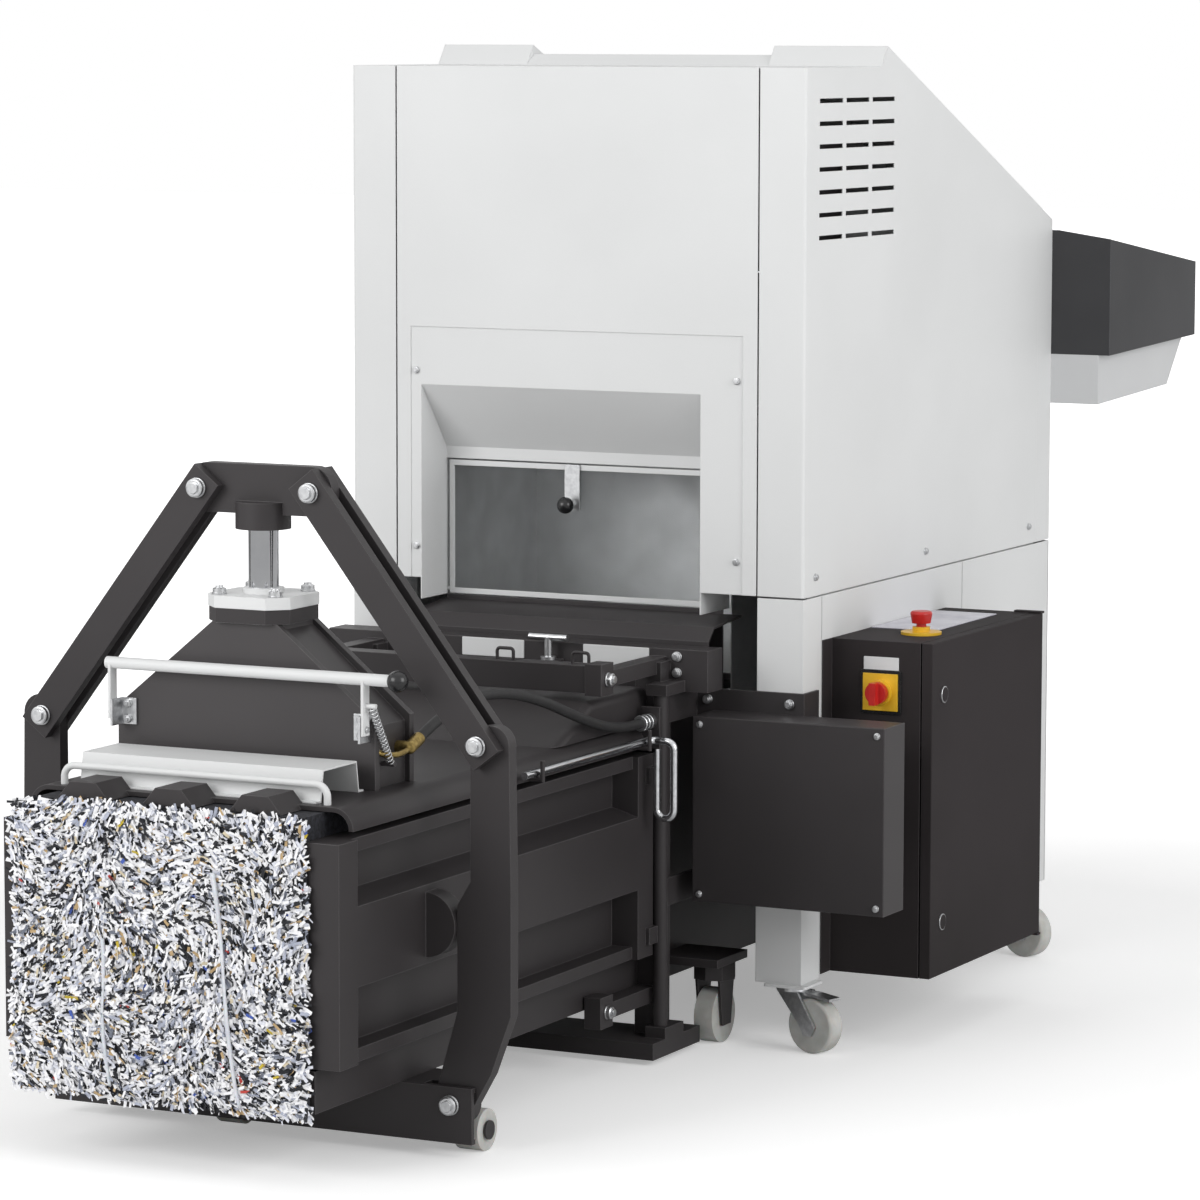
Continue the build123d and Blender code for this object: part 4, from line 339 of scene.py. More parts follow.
def make_piece(name, points, faces, finish, body, slot, smooth=False):
    """A mesh object at the origin from points in millimetres, riding on a body unless that is None."""
    mesh = bpy.data.meshes.new(name)
    metres = np.asarray(points).reshape(-1, 3) * MM
    mesh.from_pydata(metres.tolist(), [], [list(map(int, face)) for face in faces])
    mesh.materials.append(finish)
    mesh.polygons.foreach_set("use_smooth", np.full(len(mesh.polygons), smooth))
    mesh.update()
    piece = bpy.data.objects.new(name, mesh)
    bpy.context.scene.collection.objects.link(piece)
    if body:
        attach(piece, body)
    return piece


print("grid helper", len(grid_quads(3, 4)), "quads in a 3 by 4 grid")

# %% [markdown]
# ## Stacks of outlines
# A bolt, a plate or a ball is a stack: one flat outline at each height, joined by a wrapped grid and
# closed by a flat cap at each end. The outlines are a circle, a hexagon, whose radius depends on the
# angle, and a rectangle with round corners. A stack is copied to every place where it is needed.


# %% Stacks
def axes_along(way):
    """Three unit vectors, the last along the given way and the first two square to it."""
    along = np.asarray(way, float) / np.linalg.norm(way)
    helper = np.array([0, 0, 1.0]) if abs(along[2]) < 0.9 else np.array([1.0, 0, 0])
    across = np.cross(helper, along)
    across /= np.linalg.norm(across)
    return np.stack([across, np.cross(along, across), along])


def stacked(outlines, heights, places, way):
    """Closed stacks of flat outlines: one (x, y) outline at each height along a way, capped at both
    ends, and copied to every place."""
    outlines = np.asarray(outlines, float)
    rows, count = outlines.shape[:2]
    tall = np.broadcast_to(np.asarray(heights, float)[:, None, None], (rows, count, 1))
    shape = np.concatenate([outlines, tall], axis=-1).reshape(-1, 3) @ axes_along(way)
    points = np.asarray(places, float)[:, None, :] + shape[None]
    ends = [np.arange(count)[::-1], np.arange(count) + (rows - 1) * count]
    faces = [*grid_quads(rows, count, wrap_columns=True), *ends]
    copies = [face + copy * rows * count for copy in range(len(points)) for face in faces]
    return points.reshape(-1, 3), copies


SIDES = 24
side_angle = (np.arange(SIDES) + 0.5) * 2 * np.pi / SIDES
circle = np.stack([np.cos(side_angle), np.sin(side_angle)], axis=-1)
from_flat = (side_angle + np.pi / 6) % (np.pi / 3) - np.pi / 6
hexagon = circle * (math.cos(math.pi / 6) / np.cos(from_flat))[:, None]


def plate_outline(width, height, corner):
    """A rectangle with round corners: a quarter of the circle carried to each corner."""
    return np.sign(circle) * (np.array([width, height]) / 2 - corner) + corner * circle


print("outlines of", SIDES, "points")

# %% [markdown]
# ## Floor, light and background
# The machine stands on white studio paper. A large lamp in front, one on the right and a weak one
# overhead give the soft light of a product photograph. The background is white only for rays that
# come from the camera, from a reflection or through the pane, so it doesn't light the machine. Away
# from the machine the floor glows for the camera, which hides the line where floor and background
# meet, while the paper near the machine keeps its shadow.

# %% Floor
FLOOR_HALF = 40000
FADE_RADIUS = 5.0
NEAR_GLOW = 0.34
floor_mesh = bpy.data.meshes.new("studio_floor")
floor_edge = np.array([-FLOOR_HALF, FLOOR_HALF]) * MM
floor_x, floor_y = np.meshgrid(floor_edge, floor_edge)
floor_points = np.stack([floor_x.ravel(), floor_y.ravel(), np.zeros(4)], axis=-1)
floor_mesh.from_pydata(floor_points.tolist(), [], grid_quads(2, 2).tolist())
floor = bpy.data.objects.new("studio_floor", floor_mesh)
bpy.context.scene.collection.objects.link(floor)

floor_paper, floor_tree, floor_place = start_finish("studio_paper")
floor_noise = add_node(floor_tree, "ShaderNodeTexNoise", {"Scale": 1 / (800 * MM)},
                       {"Vector": (floor_place, "Object")})
floor_tone = two_tones(floor_tree, floor_noise, 0, "#f4f4f4", "#f1f1f1")
floor_ray = add_node(floor_tree, "ShaderNodeLightPath")
floor_scaled = add_node(floor_tree, "ShaderNodeMapping", {"Scale": (1 / FADE_RADIUS, 1 / FADE_RADIUS, 1)},
                        {"Vector": (floor_place, "Object")})
floor_near = add_node(floor_tree, "ShaderNodeTexGradient", links={"Vector": (floor_scaled, 0)},
                      gradient_type="SPHERICAL")
floor_glow = add_node(floor_tree, "ShaderNodeMapRange",
                      {"From Min": 0.0, "From Max": 0.65, "To Min": 1.0, "To Max": NEAR_GLOW},
                      {"Value": (floor_near, "Fac")})
floor_lift = add_node(floor_tree, "ShaderNodeMapRange", {"To Min": 0.0},
                      {"Value": (floor_ray, "Is Camera Ray"), "To Max": (floor_glow, 0)})
floor_shader = add_node(floor_tree, "ShaderNodeBsdfPrincipled",
                        {"Roughness": 0.9, "Specular IOR Level": 0.1, "Emission Color": linear("#ffffff")},
                        {"Base Color": (floor_tone, 0), "Emission Strength": (floor_lift, 0)})
close_finish(floor_tree, floor_shader)
floor_mesh.materials.append(floor_paper)
print("floor", FLOOR_HALF * 2 * MM, "m wide")

# %% Light and background
WORLD_GLOW = 0.46
lamp_table = {
    "front_softbox": ((-2.6, -6.0, 3.2), (-0.1, -0.3, 0.8), (4.0, 3.0), 188),
    "right_softbox": ((5.5, -1.5, 2.8), (0.0, 0.2, 0.9), (3.0, 3.0), 130),
    "top_softbox": ((0.2, -0.4, 6.5), (0.0, -0.4, 0.0), (5.0, 5.0), 22),
}
for lamp_name, (lamp_place, target, size, watts) in lamp_table.items():
    lamp_data = bpy.data.lights.new(lamp_name, "AREA")
    lamp_data.shape = "RECTANGLE"
    lamp_data.size, lamp_data.size_y = size
    lamp_data.energy = watts
    lamp = bpy.data.objects.new(lamp_name, lamp_data)
    lamp.location = lamp_place
    lamp.rotation_euler = (Vector(target) - Vector(lamp_place)).to_track_quat("-Z", "Y").to_euler()
    bpy.context.scene.collection.objects.link(lamp)

world = bpy.data.worlds.new("white_studio")
bpy.context.scene.world = world
world.use_nodes = True
sky_tree = world.node_tree
sky_tree.nodes.clear()
ray = add_node(sky_tree, "ShaderNodeLightPath")
mirror_ray = add_node(sky_tree, "ShaderNodeMath",
                      links={0: (ray, "Is Glossy Ray"), 1: (ray, "Is Transmission Ray")}, operation="MAXIMUM")
seen_ray = add_node(sky_tree, "ShaderNodeMath", links={0: (ray, "Is Camera Ray"), 1: (mirror_ray, 0)},
                    operation="MAXIMUM")
glow = add_node(sky_tree, "ShaderNodeBackground", {"Color": linear("#ffffff"), "Strength": WORLD_GLOW})
backdrop = add_node(sky_tree, "ShaderNodeBackground", {"Color": linear("#ffffff"), "Strength": 1.0})
sky = add_node(sky_tree, "ShaderNodeMixShader", links={0: (seen_ray, 0), 1: (glow, 0), 2: (backdrop, 0)})
add_node(sky_tree, "ShaderNodeOutputWorld", links={"Surface": (sky, 0)})
print("lamps", list(lamp_table))

# %% [markdown]
# ## Pressure hose
# The hose feeds the clamp cylinder. It is a fixed length of rubber hose, held by the brass elbow at
# one end and the steel ferrule at the other, and it lies in a low wave over the channel. A NURBS
# spline with the CAD route's points as its handles gives one smooth line, and the curve's round
# bevel is the hose.

# %% Pressure hose
HOSE_DIAMETER = 18
hose_points = np.array([
    (151, -1116, 672), (152, -1043, 699), (158, -945, 720), (169, -840, 716), (183, -735, 690),
    (195, -630, 650), (202, -540, 622), (207, -465, 611), (207, -404, 611),
])
hose_curve = bpy.data.curves.new("pressure_hose_line", "CURVE")
hose_curve.dimensions = "3D"
hose_spline = hose_curve.splines.new("NURBS")
hose_spline.points.add(len(hose_points) - 1)
hose_handles = np.column_stack([hose_points * MM, np.ones(len(hose_points))])
hose_spline.points.foreach_set("co", hose_handles.ravel())
hose_spline.order_u = 3
hose_spline.use_endpoint_u = True
hose_spline.resolution_u = 10
hose_curve.bevel_depth = HOSE_DIAMETER / 2 * MM
hose_curve.bevel_resolution = 5
hose_curve.use_fill_caps = True
hose_curve.materials.append(rubber)
hose = bpy.data.objects.new("hose_line", hose_curve)
bpy.context.scene.collection.objects.link(hose)
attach(hose, "machine")
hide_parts("pressure_hose")
print("hose", len(hose_points), "route points")

# %% [markdown]
# ## Return spring
# A drawn coil spring pulls the hand lever down. A helix is a circle carried along a line, and the
# wire is a small circle carried along that helix, so the whole spring is one formula of two
# parameters.

# %% Return spring
SPRING_TURNS = 17
SPRING_RADIUS = 5.6
WIRE_RADIUS = 1.5
WIRE_SIDES = 8
STEPS_PER_TURN = 14
spring_top = np.array([146.0, -1266.0, 742.0])
spring_low = np.array([146.0, -1203.0, 640.0])


def coil_spring(top, low, turns, radius, wire):
    """Wire points: axis point + radius times the turning vector + a wire circle square to the helix.
    Over the first and last half turn the radius falls to nothing, so that the ends run to the axis."""
    across, side, along = axes_along(low - top)
    step = np.linspace(0, 1, turns * STEPS_PER_TURN + 1)
    swing = 2 * np.pi * turns * step
    spread = radius * np.clip(np.minimum(step, 1 - step) * turns * 2, 0.05, 1)
    outward = np.cos(swing)[:, None] * across + np.sin(swing)[:, None] * side
    centre = top + step[:, None] * (low - top) + spread[:, None] * outward
    tangent = np.gradient(centre, axis=0)
    tangent /= np.linalg.norm(tangent, axis=1, keepdims=True)
    second = np.cross(tangent, outward)
    second /= np.linalg.norm(second, axis=1, keepdims=True)
    first = np.cross(second, tangent)
    ring = np.arange(WIRE_SIDES)[:, None] * 2 * np.pi / WIRE_SIDES
    return centre[:, None] + wire * (np.cos(ring) * first[:, None] + np.sin(ring) * second[:, None])


spring_points = coil_spring(spring_top, spring_low, SPRING_TURNS, SPRING_RADIUS, WIRE_RADIUS)
spring_quads = grid_quads(*spring_points.shape[:2], wrap_columns=True)
spring_caps = [np.arange(WIRE_SIDES)[::-1], np.arange(WIRE_SIDES) + WIRE_SIDES * (len(spring_points) - 1)]
spring_faces = [*spring_quads, *spring_caps]
spring = make_piece("lever_coil", spring_points, spring_faces, zinc, None, "bare_steel", True)
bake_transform(spring)
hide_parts("lever_spring")
print("spring", len(spring_points), "rings of wire")

# %% [markdown]
# ## The bale's surface
# The bale is pressed shreds: thousands of narrow paper strips, mostly white, with dark gaps between
# them. A bump map can't give that depth, so the strips are real. First comes the pressed block they
# lie on, a pillow: a box whose front bulges, with slow lumps from a few sine waves.

# %% Pillow of the bale
bale_low, bale_high = (np.array(corner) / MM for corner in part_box("bale"))
BALE_CENTRE = (bale_low + bale_high) / 2
BALE_HALF = (bale_high - bale_low) / 2
FRONT_DEPTH = 28.5
FRONT_ROUND = 9
FRONT_SET_BACK = 10.5
FLAT_SHARE = 0.80
RIM_POWER = 2.2
SIDE_SWELL = 5
FACE_SWELL = 4


def lumps(u, v):
    """Slow swells of the pressed face, a sum of sine waves between -1 and 1."""
    return (np.sin(3.1 * u + 1.7 * v + 0.4) + np.sin(-2.3 * u + 4.9 * v + 2.0)
            + np.sin(7.3 * u + 5.1 * v) + np.sin(-8.7 * u + 6.4 * v + 1.0)) / 4


def bale_face(u, v, depth=0.0):
    """Front of the bale for u, v in -1..1: flat in the middle, falling back near the rim as a
    power of the distance to it, with lumps, and sunk by depth."""
    to_rim = (np.maximum(np.abs(u), np.abs(v)) - FLAT_SHARE) / (1 - FLAT_SHARE)
    rim = np.clip(to_rim, 0, 1) ** RIM_POWER
    wave = lumps(u, v)
    x = BALE_CENTRE[0] + u * (BALE_HALF[0] - SIDE_SWELL + SIDE_SWELL * wave)
    z = BALE_CENTRE[2] + v * (BALE_HALF[2] - SIDE_SWELL + SIDE_SWELL * lumps(v + 1.3, u))
    y = bale_low[1] + FRONT_SET_BACK + FRONT_ROUND * rim - FACE_SWELL * wave + depth
    return np.stack([x, y, z], axis=-1)


print("bale", np.round(2 * BALE_HALF).astype(int).tolist(), "mm")

# %% [markdown]
# ## Pressed block and shreds
# The block below the strips is dark, as dark as the gaps between strips look: it is painted shade
# that stands for the shade in those gaps. Its front is the pillow, and behind it the rim runs back
# into the channel as a tube. Each strip is a short ribbon of four cross lines that bends and tips
# out of the face. Its direction follows a slow field, so that neighbours lie nearly parallel in
# swirls, as pressed shreds do. All strips are worked out at once as one array: strip, cross line, edge.

# %% Pressed block
BLOCK_GRID = 61
BLOCK_DEPTH = 5.0
block_line = np.linspace(-1, 1, BLOCK_GRID)
block_u, block_v = np.meshgrid(block_line, block_line)
block_front = bale_face(block_u, block_v, depth=BLOCK_DEPTH)
block_index = np.arange(BLOCK_GRID ** 2).reshape(BLOCK_GRID, BLOCK_GRID)
rim_index = np.concatenate([block_index[0, :-1], block_index[:-1, -1],
                            block_index[-1, :0:-1], block_index[:0:-1, 0]])
rim_points = block_front.reshape(-1, 3)[rim_index]
CHANNEL_CENTRE, INNER_X, INNER_LOW, INNER_HIGH = -105.0, 248.5, 128.5, 590.5
rim_rear = rim_points.copy()
rim_rear[:, 1] = bale_low[1] + FRONT_DEPTH
tube_mouth = rim_rear.copy()
tube_mouth[:, 0] = CHANNEL_CENTRE + INNER_X * block_u.ravel()[rim_index]
tube_mouth[:, 2] = INNER_LOW + (INNER_HIGH - INNER_LOW) * (1 + block_v.ravel()[rim_index]) / 2
tube_rear = tube_mouth.copy()
tube_rear[:, 1] = bale_high[1]
tube = np.stack([rim_rear, tube_mouth, tube_rear])
block_points = np.concatenate([block_front.reshape(-1, 3), tube.reshape(-1, 3)])
tube_index = np.arange(tube.size // 3).reshape(3, -1) + block_front.size // 3
ring_index = np.concatenate([rim_index[None], tube_index])
tube_quads = ring_index.ravel()[grid_quads(4, len(rim_index), wrap_columns=True)[:, ::-1]]
block_faces = [*grid_quads(BLOCK_GRID, BLOCK_GRID), *tube_quads, tube_index[-1][::-1]]

# The block's near-black tones are painted shade for the gaps between the strips.
pressed, pressed_tree, pressed_place = start_finish("painted_gap_shade")
pressed_noise = add_node(pressed_tree, "ShaderNodeTexNoise", {"Scale": 1 / (9 * MM), "Detail": 4.0},
                         {"Vector": (pressed_place, "Object")})
gap_shade_tone = two_tones(pressed_tree, pressed_noise, 0, "#101014", "#2c2d34")
pressed_relief = add_node(pressed_tree, "ShaderNodeBump", {"Distance": 3 * MM},
                          {"Height": (pressed_noise, 0)})
pressed_shader = add_node(pressed_tree, "ShaderNodeBsdfPrincipled", {"Roughness": 0.9},
                          {"Base Color": (gap_shade_tone, 0), "Normal": (pressed_relief, 0)})
close_finish(pressed_tree, pressed_shader)
block = make_piece("bale_block", block_points, block_faces, pressed, "machine", "shredded_paper")
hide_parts("bale")
print("block", len(block_faces), "faces")

# %% Shreds
SHRED_COUNT = 13500
SHRED_LINES = 4
FACE_REACH = 1.015
SLOPE_STEP = 1e-3
draw = np.random.default_rng(2026)


def shreds(count):
    """Ribbons on the bale's face: centre + along * s + across * t + outward * (tip * s + bend * s * s).
    The along vector turns with a slow field plus a random angle; s and t span length and width."""
    u, v = draw.uniform(-FACE_REACH, FACE_REACH, count), draw.uniform(-FACE_REACH, FACE_REACH, count)
    centre = bale_face(u, v, depth=draw.uniform(-2.0, BLOCK_DEPTH, count))
    along_u = bale_face(u + SLOPE_STEP, v) - bale_face(u - SLOPE_STEP, v)
    along_v = bale_face(u, v + SLOPE_STEP) - bale_face(u, v - SLOPE_STEP)
    along_u /= np.linalg.norm(along_u, axis=1, keepdims=True)
    along_v /= np.linalg.norm(along_v, axis=1, keepdims=True)
    outward = np.cross(along_u, along_v)
    outward /= np.linalg.norm(outward, axis=1, keepdims=True)
    field = 1.1 + 1.4 * np.sin(2.1 * u + 1.2 * v + 0.5) + 0.9 * np.sin(3.7 * v - 2.6 * u)
    angle = field + draw.normal(0, 0.6, count)
    along = np.cos(angle)[:, None] * along_u + np.sin(angle)[:, None] * along_v
    across = np.cross(outward, along)
    tilt = draw.normal(0, 0.45, count)[:, None]
    across = across * np.cos(tilt) + outward * np.sin(tilt)
    length = draw.gamma(8.0, 1.75, count).clip(7, 24)
    width = draw.normal(4.7, 0.9, count).clip(2.8, 7.0)
    s = np.linspace(-0.5, 0.5, SHRED_LINES)
    t = np.array([-0.5, 0.5])
    tip, bend = draw.normal(0, 0.22, count), draw.normal(0, 0.015, count)
    run = length[:, None] * s
    lift = tip[:, None] * run + bend[:, None] * run ** 2
    spine = centre[:, None] + run[..., None] * along[:, None] + lift[..., None] * outward[:, None]
    return spine[:, :, None] + (width[:, None, None, None] * t[:, None]) * across[:, None, None]


shred_points = shreds(SHRED_COUNT)
RAGGED_RIM = np.array([8.0, 0.0, 8.0])
shred_points = np.clip(shred_points, bale_low - RAGGED_RIM, bale_high + RAGGED_RIM)
shred_points[..., 1] = np.minimum(shred_points[..., 1], bale_low[1] + FRONT_DEPTH)
strip_quads = grid_quads(SHRED_LINES, 2)[:, ::-1]
first_point = np.arange(SHRED_COUNT)[:, None, None] * SHRED_LINES * 2
shred_quads = (strip_quads[None] + first_point).reshape(-1, 4)
print("shreds", SHRED_COUNT, "strips", len(shred_quads), "quads")

# %% [markdown]
# ## Paper tones
# Office waste is mostly white paper, some of it printed, with a little brown card and a few bright
# specks. The dark strips are partly printed paper and partly painted shade: there are more of them
# than print alone gives, so that they stand for the shaded gaps between strips. Each strip draws one
# tone from a weighted list and keeps it in a colour attribute, which the paper finish reads. Paper is
# matt, with a faint grain.

# %% Paper finish and the shred piece
# The dark #232429 share of 0.21 is partly printed paper and partly painted shade for the gaps between strips.
paper_tones = {
    "#fdfdff": 0.50, "#e4e6ef": 0.14, "#b6bbcb": 0.07, "#767b88": 0.05, "#232429": 0.21,
    "#c2a67c": 0.03, "#ddd0b4": 0.02, "#4a63b5": 0.004, "#c2463e": 0.002, "#c9b23c": 0.003,
}
tone_list = np.array([linear(tone) for tone in paper_tones])
tone_share = np.array(list(paper_tones.values()))
strip_tone = draw.choice(len(tone_list), SHRED_COUNT, p=tone_share / tone_share.sum())
point_tone = np.repeat(tone_list[strip_tone], SHRED_LINES * 2, axis=0)

paper, paper_tree, paper_place = start_finish("shredded_office_paper")
paper_tone = add_node(paper_tree, "ShaderNodeAttribute", attribute_name="strip_tone")
paper_noise = add_node(paper_tree, "ShaderNodeTexNoise", {"Scale": 1 / (5 * MM)},
                       {"Vector": (paper_place, "Object")})
paper_relief = add_node(paper_tree, "ShaderNodeBump", {"Strength": 0.3, "Distance": 0.3 * MM},
                        {"Height": (paper_noise, 0)})
paper_shader = add_node(paper_tree, "ShaderNodeBsdfPrincipled", {"Roughness": 0.75, "IOR": 1.45},
                        {"Base Color": (paper_tone, "Color"), "Normal": (paper_relief, 0)})
close_finish(paper_tree, paper_shader)
shred_piece = make_piece("bale_shreds", shred_points, shred_quads, paper, "machine", "shredded_paper")
tone_layer = shred_piece.data.color_attributes.new("strip_tone", "FLOAT_COLOR", "POINT")
tone_layer.data.foreach_set("color", point_tone.ravel())
print("paper tones", len(tone_list))

# %% [markdown]
# ## Bale straps
# Two plastic straps were drawn round the bale while it was in the channel. A strap is a flat profile
# carried along a line on the bale's face, and it dips and twists a little with the lumps below it.


# %% Bale straps
STRAP_STEPS = 60
STRAP_THICKNESS = 0.8


def strap(u_top, u_low, v_top, v_low, width, lift):
    """A ribbon on the bale's face: u runs from top to foot in a slight curve, edges half a width apart."""
    step = np.linspace(0, 1, STRAP_STEPS)
    u = u_top + (u_low - u_top) * step + 0.010 * np.sin(7 * step)
    line = bale_face(u, v_top + (v_low - v_top) * step, depth=-lift)
    half = np.array([-0.5, 0.5]) * width
    ribbon = np.repeat(line[:, None], 2, axis=1)
    ribbon[..., 0] += half * (1 - 0.35 * np.abs(np.sin(5 * step)))[:, None]
    ribbon[..., 1] += half * 0.25 * np.sin(9 * step)[:, None]
    return ribbon


for strap_name, strap_shape in {
    "bale_strap_right": strap(0.41, 0.57, 0.62, -0.97, 9.0, 5.0),
    "bale_strap_left": strap(-0.36, -0.33, 0.10, -0.90, 8.0, 2.5),
}.items():
    strap_piece = make_piece(strap_name, strap_shape, grid_quads(STRAP_STEPS, 2), strap_plastic, "machine",
                             "shredded_paper", True)
    thick = strap_piece.modifiers.new("strap_thickness", "SOLIDIFY")
    thick.thickness = STRAP_THICKNESS * MM
print("straps 2")

# %% [markdown]
# ## Bolts
# Every pivot has a zinc-plated bolt with a washer under it. A bolt is a stack of outlines: circles for
# the washer and the round collar, hexagons for the head, and a smaller circle for its chamfer. The
# outlines are shares of the head's radius and the levels shares of its height, so that the same
# stack serves every size. They sit over the plain heads of the CAD model and ride on the same bodies.

# %% Pivot bolts
bolt_outlines = np.stack([1.06 * circle, 1.12 * circle, 1.12 * circle, 1.07 * circle, 1.03 * circle,
                          1.03 * circle, 0.86 * circle, 0.68 * hexagon, 0.68 * hexagon, 0.58 * circle])
bolt_levels = np.array([-0.02, 0.06, 0.26, 0.32, 0.32, 1.04, 1.18, 1.18, 1.50, 1.58])
CLAMP_BOLT, CLAMP_HEAD = 15.0, 10.0
FRONT, RIGHT, LEFT, UP = (0, -1, 0), (1, 0, 0), (-1, 0, 0), (0, 0, 1)
front_pivots = {
    "yoke_bolts": ("clamp", [(-211, -1211.5, 1076), (1, -1211.5, 1076)]),
    "link_bolt_right": ("link_right", [(307, -1211, 680)]),
    "link_bolt_left": ("link_left", [(-517, -1211, 680)]),
    "arm_bolts": ("machine", [(254, -1203, 87), (-464, -1203, 87)]),
}
for bolt_name, (body, places) in front_pivots.items():
    bolt = stacked(CLAMP_BOLT * bolt_outlines, CLAMP_HEAD * bolt_levels, places, FRONT)
    make_piece(bolt_name, *bolt, zinc, body, "bare_steel")
print("pivot bolts", sum(len(places) for _, places in front_pivots.values()))

# %% [markdown]
# ## Screws on the machine's faces
# Sheets and brackets are held with the same bolts in smaller sizes. One table says for each group
# how large the head is, which way it faces and where it sits, so that one loop makes them all. The
# two locks in the cabinet's door are black discs in the CAD model and get a thin zinc rim here.

# %% Screws
screw_table = {
    "flange_bolts": (11.0, 9.0, UP, [(x, y, 905) for x in (-158, -52) for y in (-1231, -1125)]),
    "clamp_block_bolts_right": (11.0, 10.0, RIGHT, [(198, -516, z) for z in (702, 114)]),
    "clamp_block_bolts_left": (11.0, 10.0, LEFT, [(-408, -516, z) for z in (702, 114)]),
    "bracket_bolts": (6.5, 6.0, FRONT, [(x, -1245, z) for x in (116, -326) for z in (716, 690)]),
    "surround_screws": (6.0, 4.0, FRONT, [(x, -173, z) for x in (-364, 285) for z in (1203, 879)]),
    "cover_screws": (5.5, 4.0, FRONT, [(x, -270, z) for x in (260, 603) for z in (291, 597)]),
    "panel_screws_right": (6.0, 4.0, RIGHT, [(418, y, 854) for y in (-125, 383, 907)]),
    "panel_screws_left": (6.0, 4.0, LEFT, [(-496, y, 854) for y in (-125, 383, 907)]),
    "beam_bolts": (8.0, 6.0, FRONT, [(220, -280, z) for z in (717, 688)]),
    "band_bolts": (8.0, 7.0, FRONT, [(x, -180, 630) for x in (234, 395)]),
}
for screw_name, (radius, height, way, places) in screw_table.items():
    screw = stacked(radius * bolt_outlines, height * bolt_levels, places, way)
    make_piece(screw_name, *screw, zinc, "machine", "bare_steel")

LOCK_RIM = 15.0
LOCK_LEVELS = [-0.2, 2.2, 2.7]
rim_outlines = LOCK_RIM * np.stack([circle, circle, 0.96 * circle])
lock_rims = stacked(rim_outlines, LOCK_LEVELS, [(616, 2, z) for z in (226, 640)], RIGHT)
make_piece("door_lock_rims", *lock_rims, zinc, "door", "bare_steel")
print("screws", sum(len(entry[3]) for entry in screw_table.values()))

# %% [markdown]
# ## Black balls, latch and seal
# The lever and the flap end in black moulded balls. A ball is a stack of circles whose radius and
# height are the cosine and sine of the latitude. The flap's tongue is a zinc latch plate, and under
# the cylinder's white flange lies a black eight-sided seal plate.


# %% Balls, latch plate and seal plate
BALL_ROWS = 17


def ball_stack(radius):
    """Outlines and heights of a ball: cosine and sine of the latitude, from pole to pole."""
    latitude = np.radians(np.linspace(-89, 89, BALL_ROWS))
    return radius * np.cos(latitude)[:, None, None] * circle, radius * np.sin(latitude)


for ball_name, (radius, place, way, body) in {
    "lever_ball": (17.6, (193.5, -1266, 785), RIGHT, "lever"),
    "flap_ball": (15.6, (-91, -106.5, 959), FRONT, "flap"),
}.items():
    ball = stacked(*ball_stack(radius), [place], way)
    make_piece(ball_name, *ball, black_plastic, body, "black_plastic", True)


def plate_stack(width, height, corner, bevel, thick):
    """Outlines and heights of a flat plate: full size to nine tenths of its thickness, then drawn in
    by the bevel."""
    full = plate_outline(width, height, corner)
    drawn_in = plate_outline(width - 2 * bevel, height - 2 * bevel, max(corner - bevel, 0.2))
    return np.stack([full, full, drawn_in]), thick * np.array([0.0, 0.9, 1.0])


latch_shape = plate_stack(width=31.2, height=85.2, corner=3, bevel=0.5, thick=4.9)
latch = stacked(*latch_shape, [(-91, -74.9, 989)], FRONT)
make_piece("flap_latch", *latch, zinc, "flap", "bare_steel")

SEAL_HALF, SEAL_CUT = 76.7, 30.0
SEAL_LEVELS = [861.2, 884.8]
seal_short = SEAL_HALF - SEAL_CUT
seal_quarter = np.array([(SEAL_HALF, -seal_short), (SEAL_HALF, seal_short)])
quarter_turn = np.array([(0, 1), (-1, 0)])
seal_outline = np.concatenate([seal_quarter @ np.linalg.matrix_power(quarter_turn, k) for k in range(4)])
seal = stacked([seal_outline, seal_outline], SEAL_LEVELS, [(-105, -1178, 0)], UP)
make_piece("flange_seal", *seal, black_coat, "machine", "black_coat")
print("balls 2, latch and seal")

# %% [markdown]
# ## Blank plates
# The outlet beam carries two white plates, the cabinet a pale plate, a black plate behind its
# switch and a film pocket for papers on its top. All are left blank. Each is one rounded outline
# with a small bevel, so one table is enough: width, height, corner radius, thickness, place and way.

# %% Blank plates
PLATE_BEVEL = 0.4
plate_table = {
    "beam_plate_right": (131, 43, 2.0, 2.0, (99, -280, 708), FRONT, white_coat, "white_coat"),
    "beam_plate_left": (126, 33, 2.0, 2.0, (-149, -280, 713), FRONT, white_coat, "white_coat"),
    "cabinet_plate": (68, 26, 1.5, 1.5, (517, -52, 695), FRONT, pan_coat, "grey_coat"),
    "switch_backing": (80, 80, 5.0, 3.0, (517, -52, 645), FRONT, black_plastic, "black_plastic"),
    "document_pocket": (300, 128, 4.0, 1.5, (484, 274, 737), UP, document_film, "black_plastic"),
}
for plate_name, (width, height, corner, thick, place, way, finish, slot) in plate_table.items():
    plate = stacked(*plate_stack(width, height, corner, PLATE_BEVEL, thick), [place], way)
    make_piece(plate_name, *plate, finish, "machine", slot)
print("plates", list(plate_table))

# %% [markdown]
# ## Pipe, ferrule and strap loops
# A short brass pipe bends from the hose elbow into the clamp's base, the hose's far end is crimped in
# a zinc ferrule, and two black wire loops on the crossbar guide the straps. The pipe's line is a
# quadratic curve of three points; a loop's line is a rounded rectangle. Both carry a small circle.


# %% Pipe, ferrule and loops
TUBE_SIDES = 12
PIPE_STEPS = 24
PIPE_RADIUS = 5.0
LOOP_RADIUS = 3.0
LOOP_Y, LOOP_Z = -516.0, 735


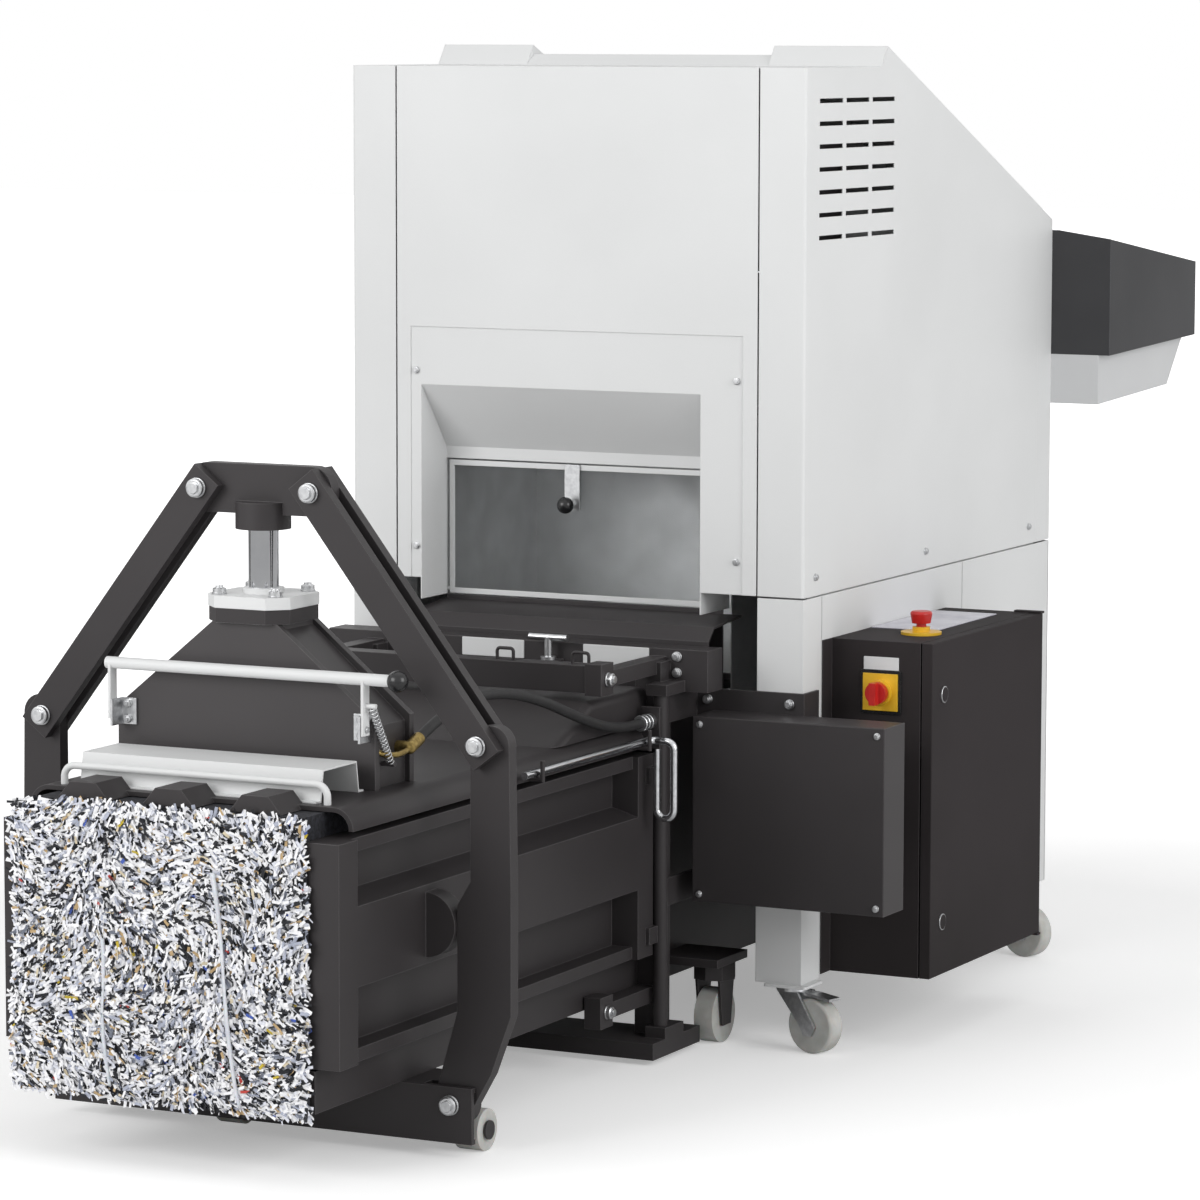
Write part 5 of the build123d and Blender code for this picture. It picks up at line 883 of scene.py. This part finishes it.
def tube_along(line, radius, closed=False):
    """A circle carried along a line: each ring stands square to the line's direction there."""
    ahead = np.roll(line, -1, axis=0) - np.roll(line, 1, axis=0) if closed else np.gradient(line, axis=0)
    ahead = ahead / np.linalg.norm(ahead, axis=1, keepdims=True)
    helper = np.array([0.0, 1.0, 0.0]) if closed else np.array([1.0, 0.0, 0.3])
    first = np.cross(ahead, helper)
    first /= np.linalg.norm(first, axis=1, keepdims=True)
    second = np.cross(ahead, first)
    ring = np.arange(TUBE_SIDES)[:, None] * 2 * np.pi / TUBE_SIDES
    return line[:, None] + radius * (np.cos(ring) * first[:, None] + np.sin(ring) * second[:, None])


pipe_start, pipe_middle, pipe_end = np.array([(151, -1147, 660), (156, -1206, 646), (127, -1228, 664)])
bend = np.linspace(0, 1, PIPE_STEPS)[:, None]
pipe_line = (1 - bend) ** 2 * pipe_start + 2 * bend * (1 - bend) * pipe_middle + bend ** 2 * pipe_end
pipe_points = tube_along(pipe_line, PIPE_RADIUS)
pipe_caps = [np.arange(TUBE_SIDES)[::-1], np.arange(TUBE_SIDES) + (PIPE_STEPS - 1) * TUBE_SIDES]
pipe_faces = [*grid_quads(PIPE_STEPS, TUBE_SIDES, wrap_columns=True), *pipe_caps]
make_piece("brass_pipe", pipe_points, pipe_faces, brass, "machine", "brass_fitting", True)

ferrule_radii = np.array([13.4, 14.3, 14.3, 13.5, 13.5, 14.3, 14.3, 13.5, 13.5, 14.3, 13.4])
ferrule_steps = np.array([-0.4, 1, 9, 10, 12, 13, 22, 23, 25, 26, 41.5])
ferrule = stacked(ferrule_radii[:, None, None] * circle, ferrule_steps, [hose_points[-1]], (0, 1, 0))
make_piece("hose_ferrule", *ferrule, zinc, "machine", "bare_steel")

loop_flat = plate_outline(width=32, height=22, corner=6)
loop_faces = grid_quads(SIDES, TUBE_SIDES, wrap_rows=True, wrap_columns=True)
for loop_name, loop_x in {"strap_loop_left": -2, "strap_loop_right": 146}.items():
    loop_line = np.stack([loop_x + loop_flat[:, 0], np.full(SIDES, LOOP_Y), LOOP_Z + loop_flat[:, 1]],
                         axis=-1)
    loop_points = tube_along(loop_line, LOOP_RADIUS, closed=True)
    make_piece(loop_name, loop_points, loop_faces, black_coat, "machine", "black_coat", True)
print("pipe, ferrule and 2 loops")
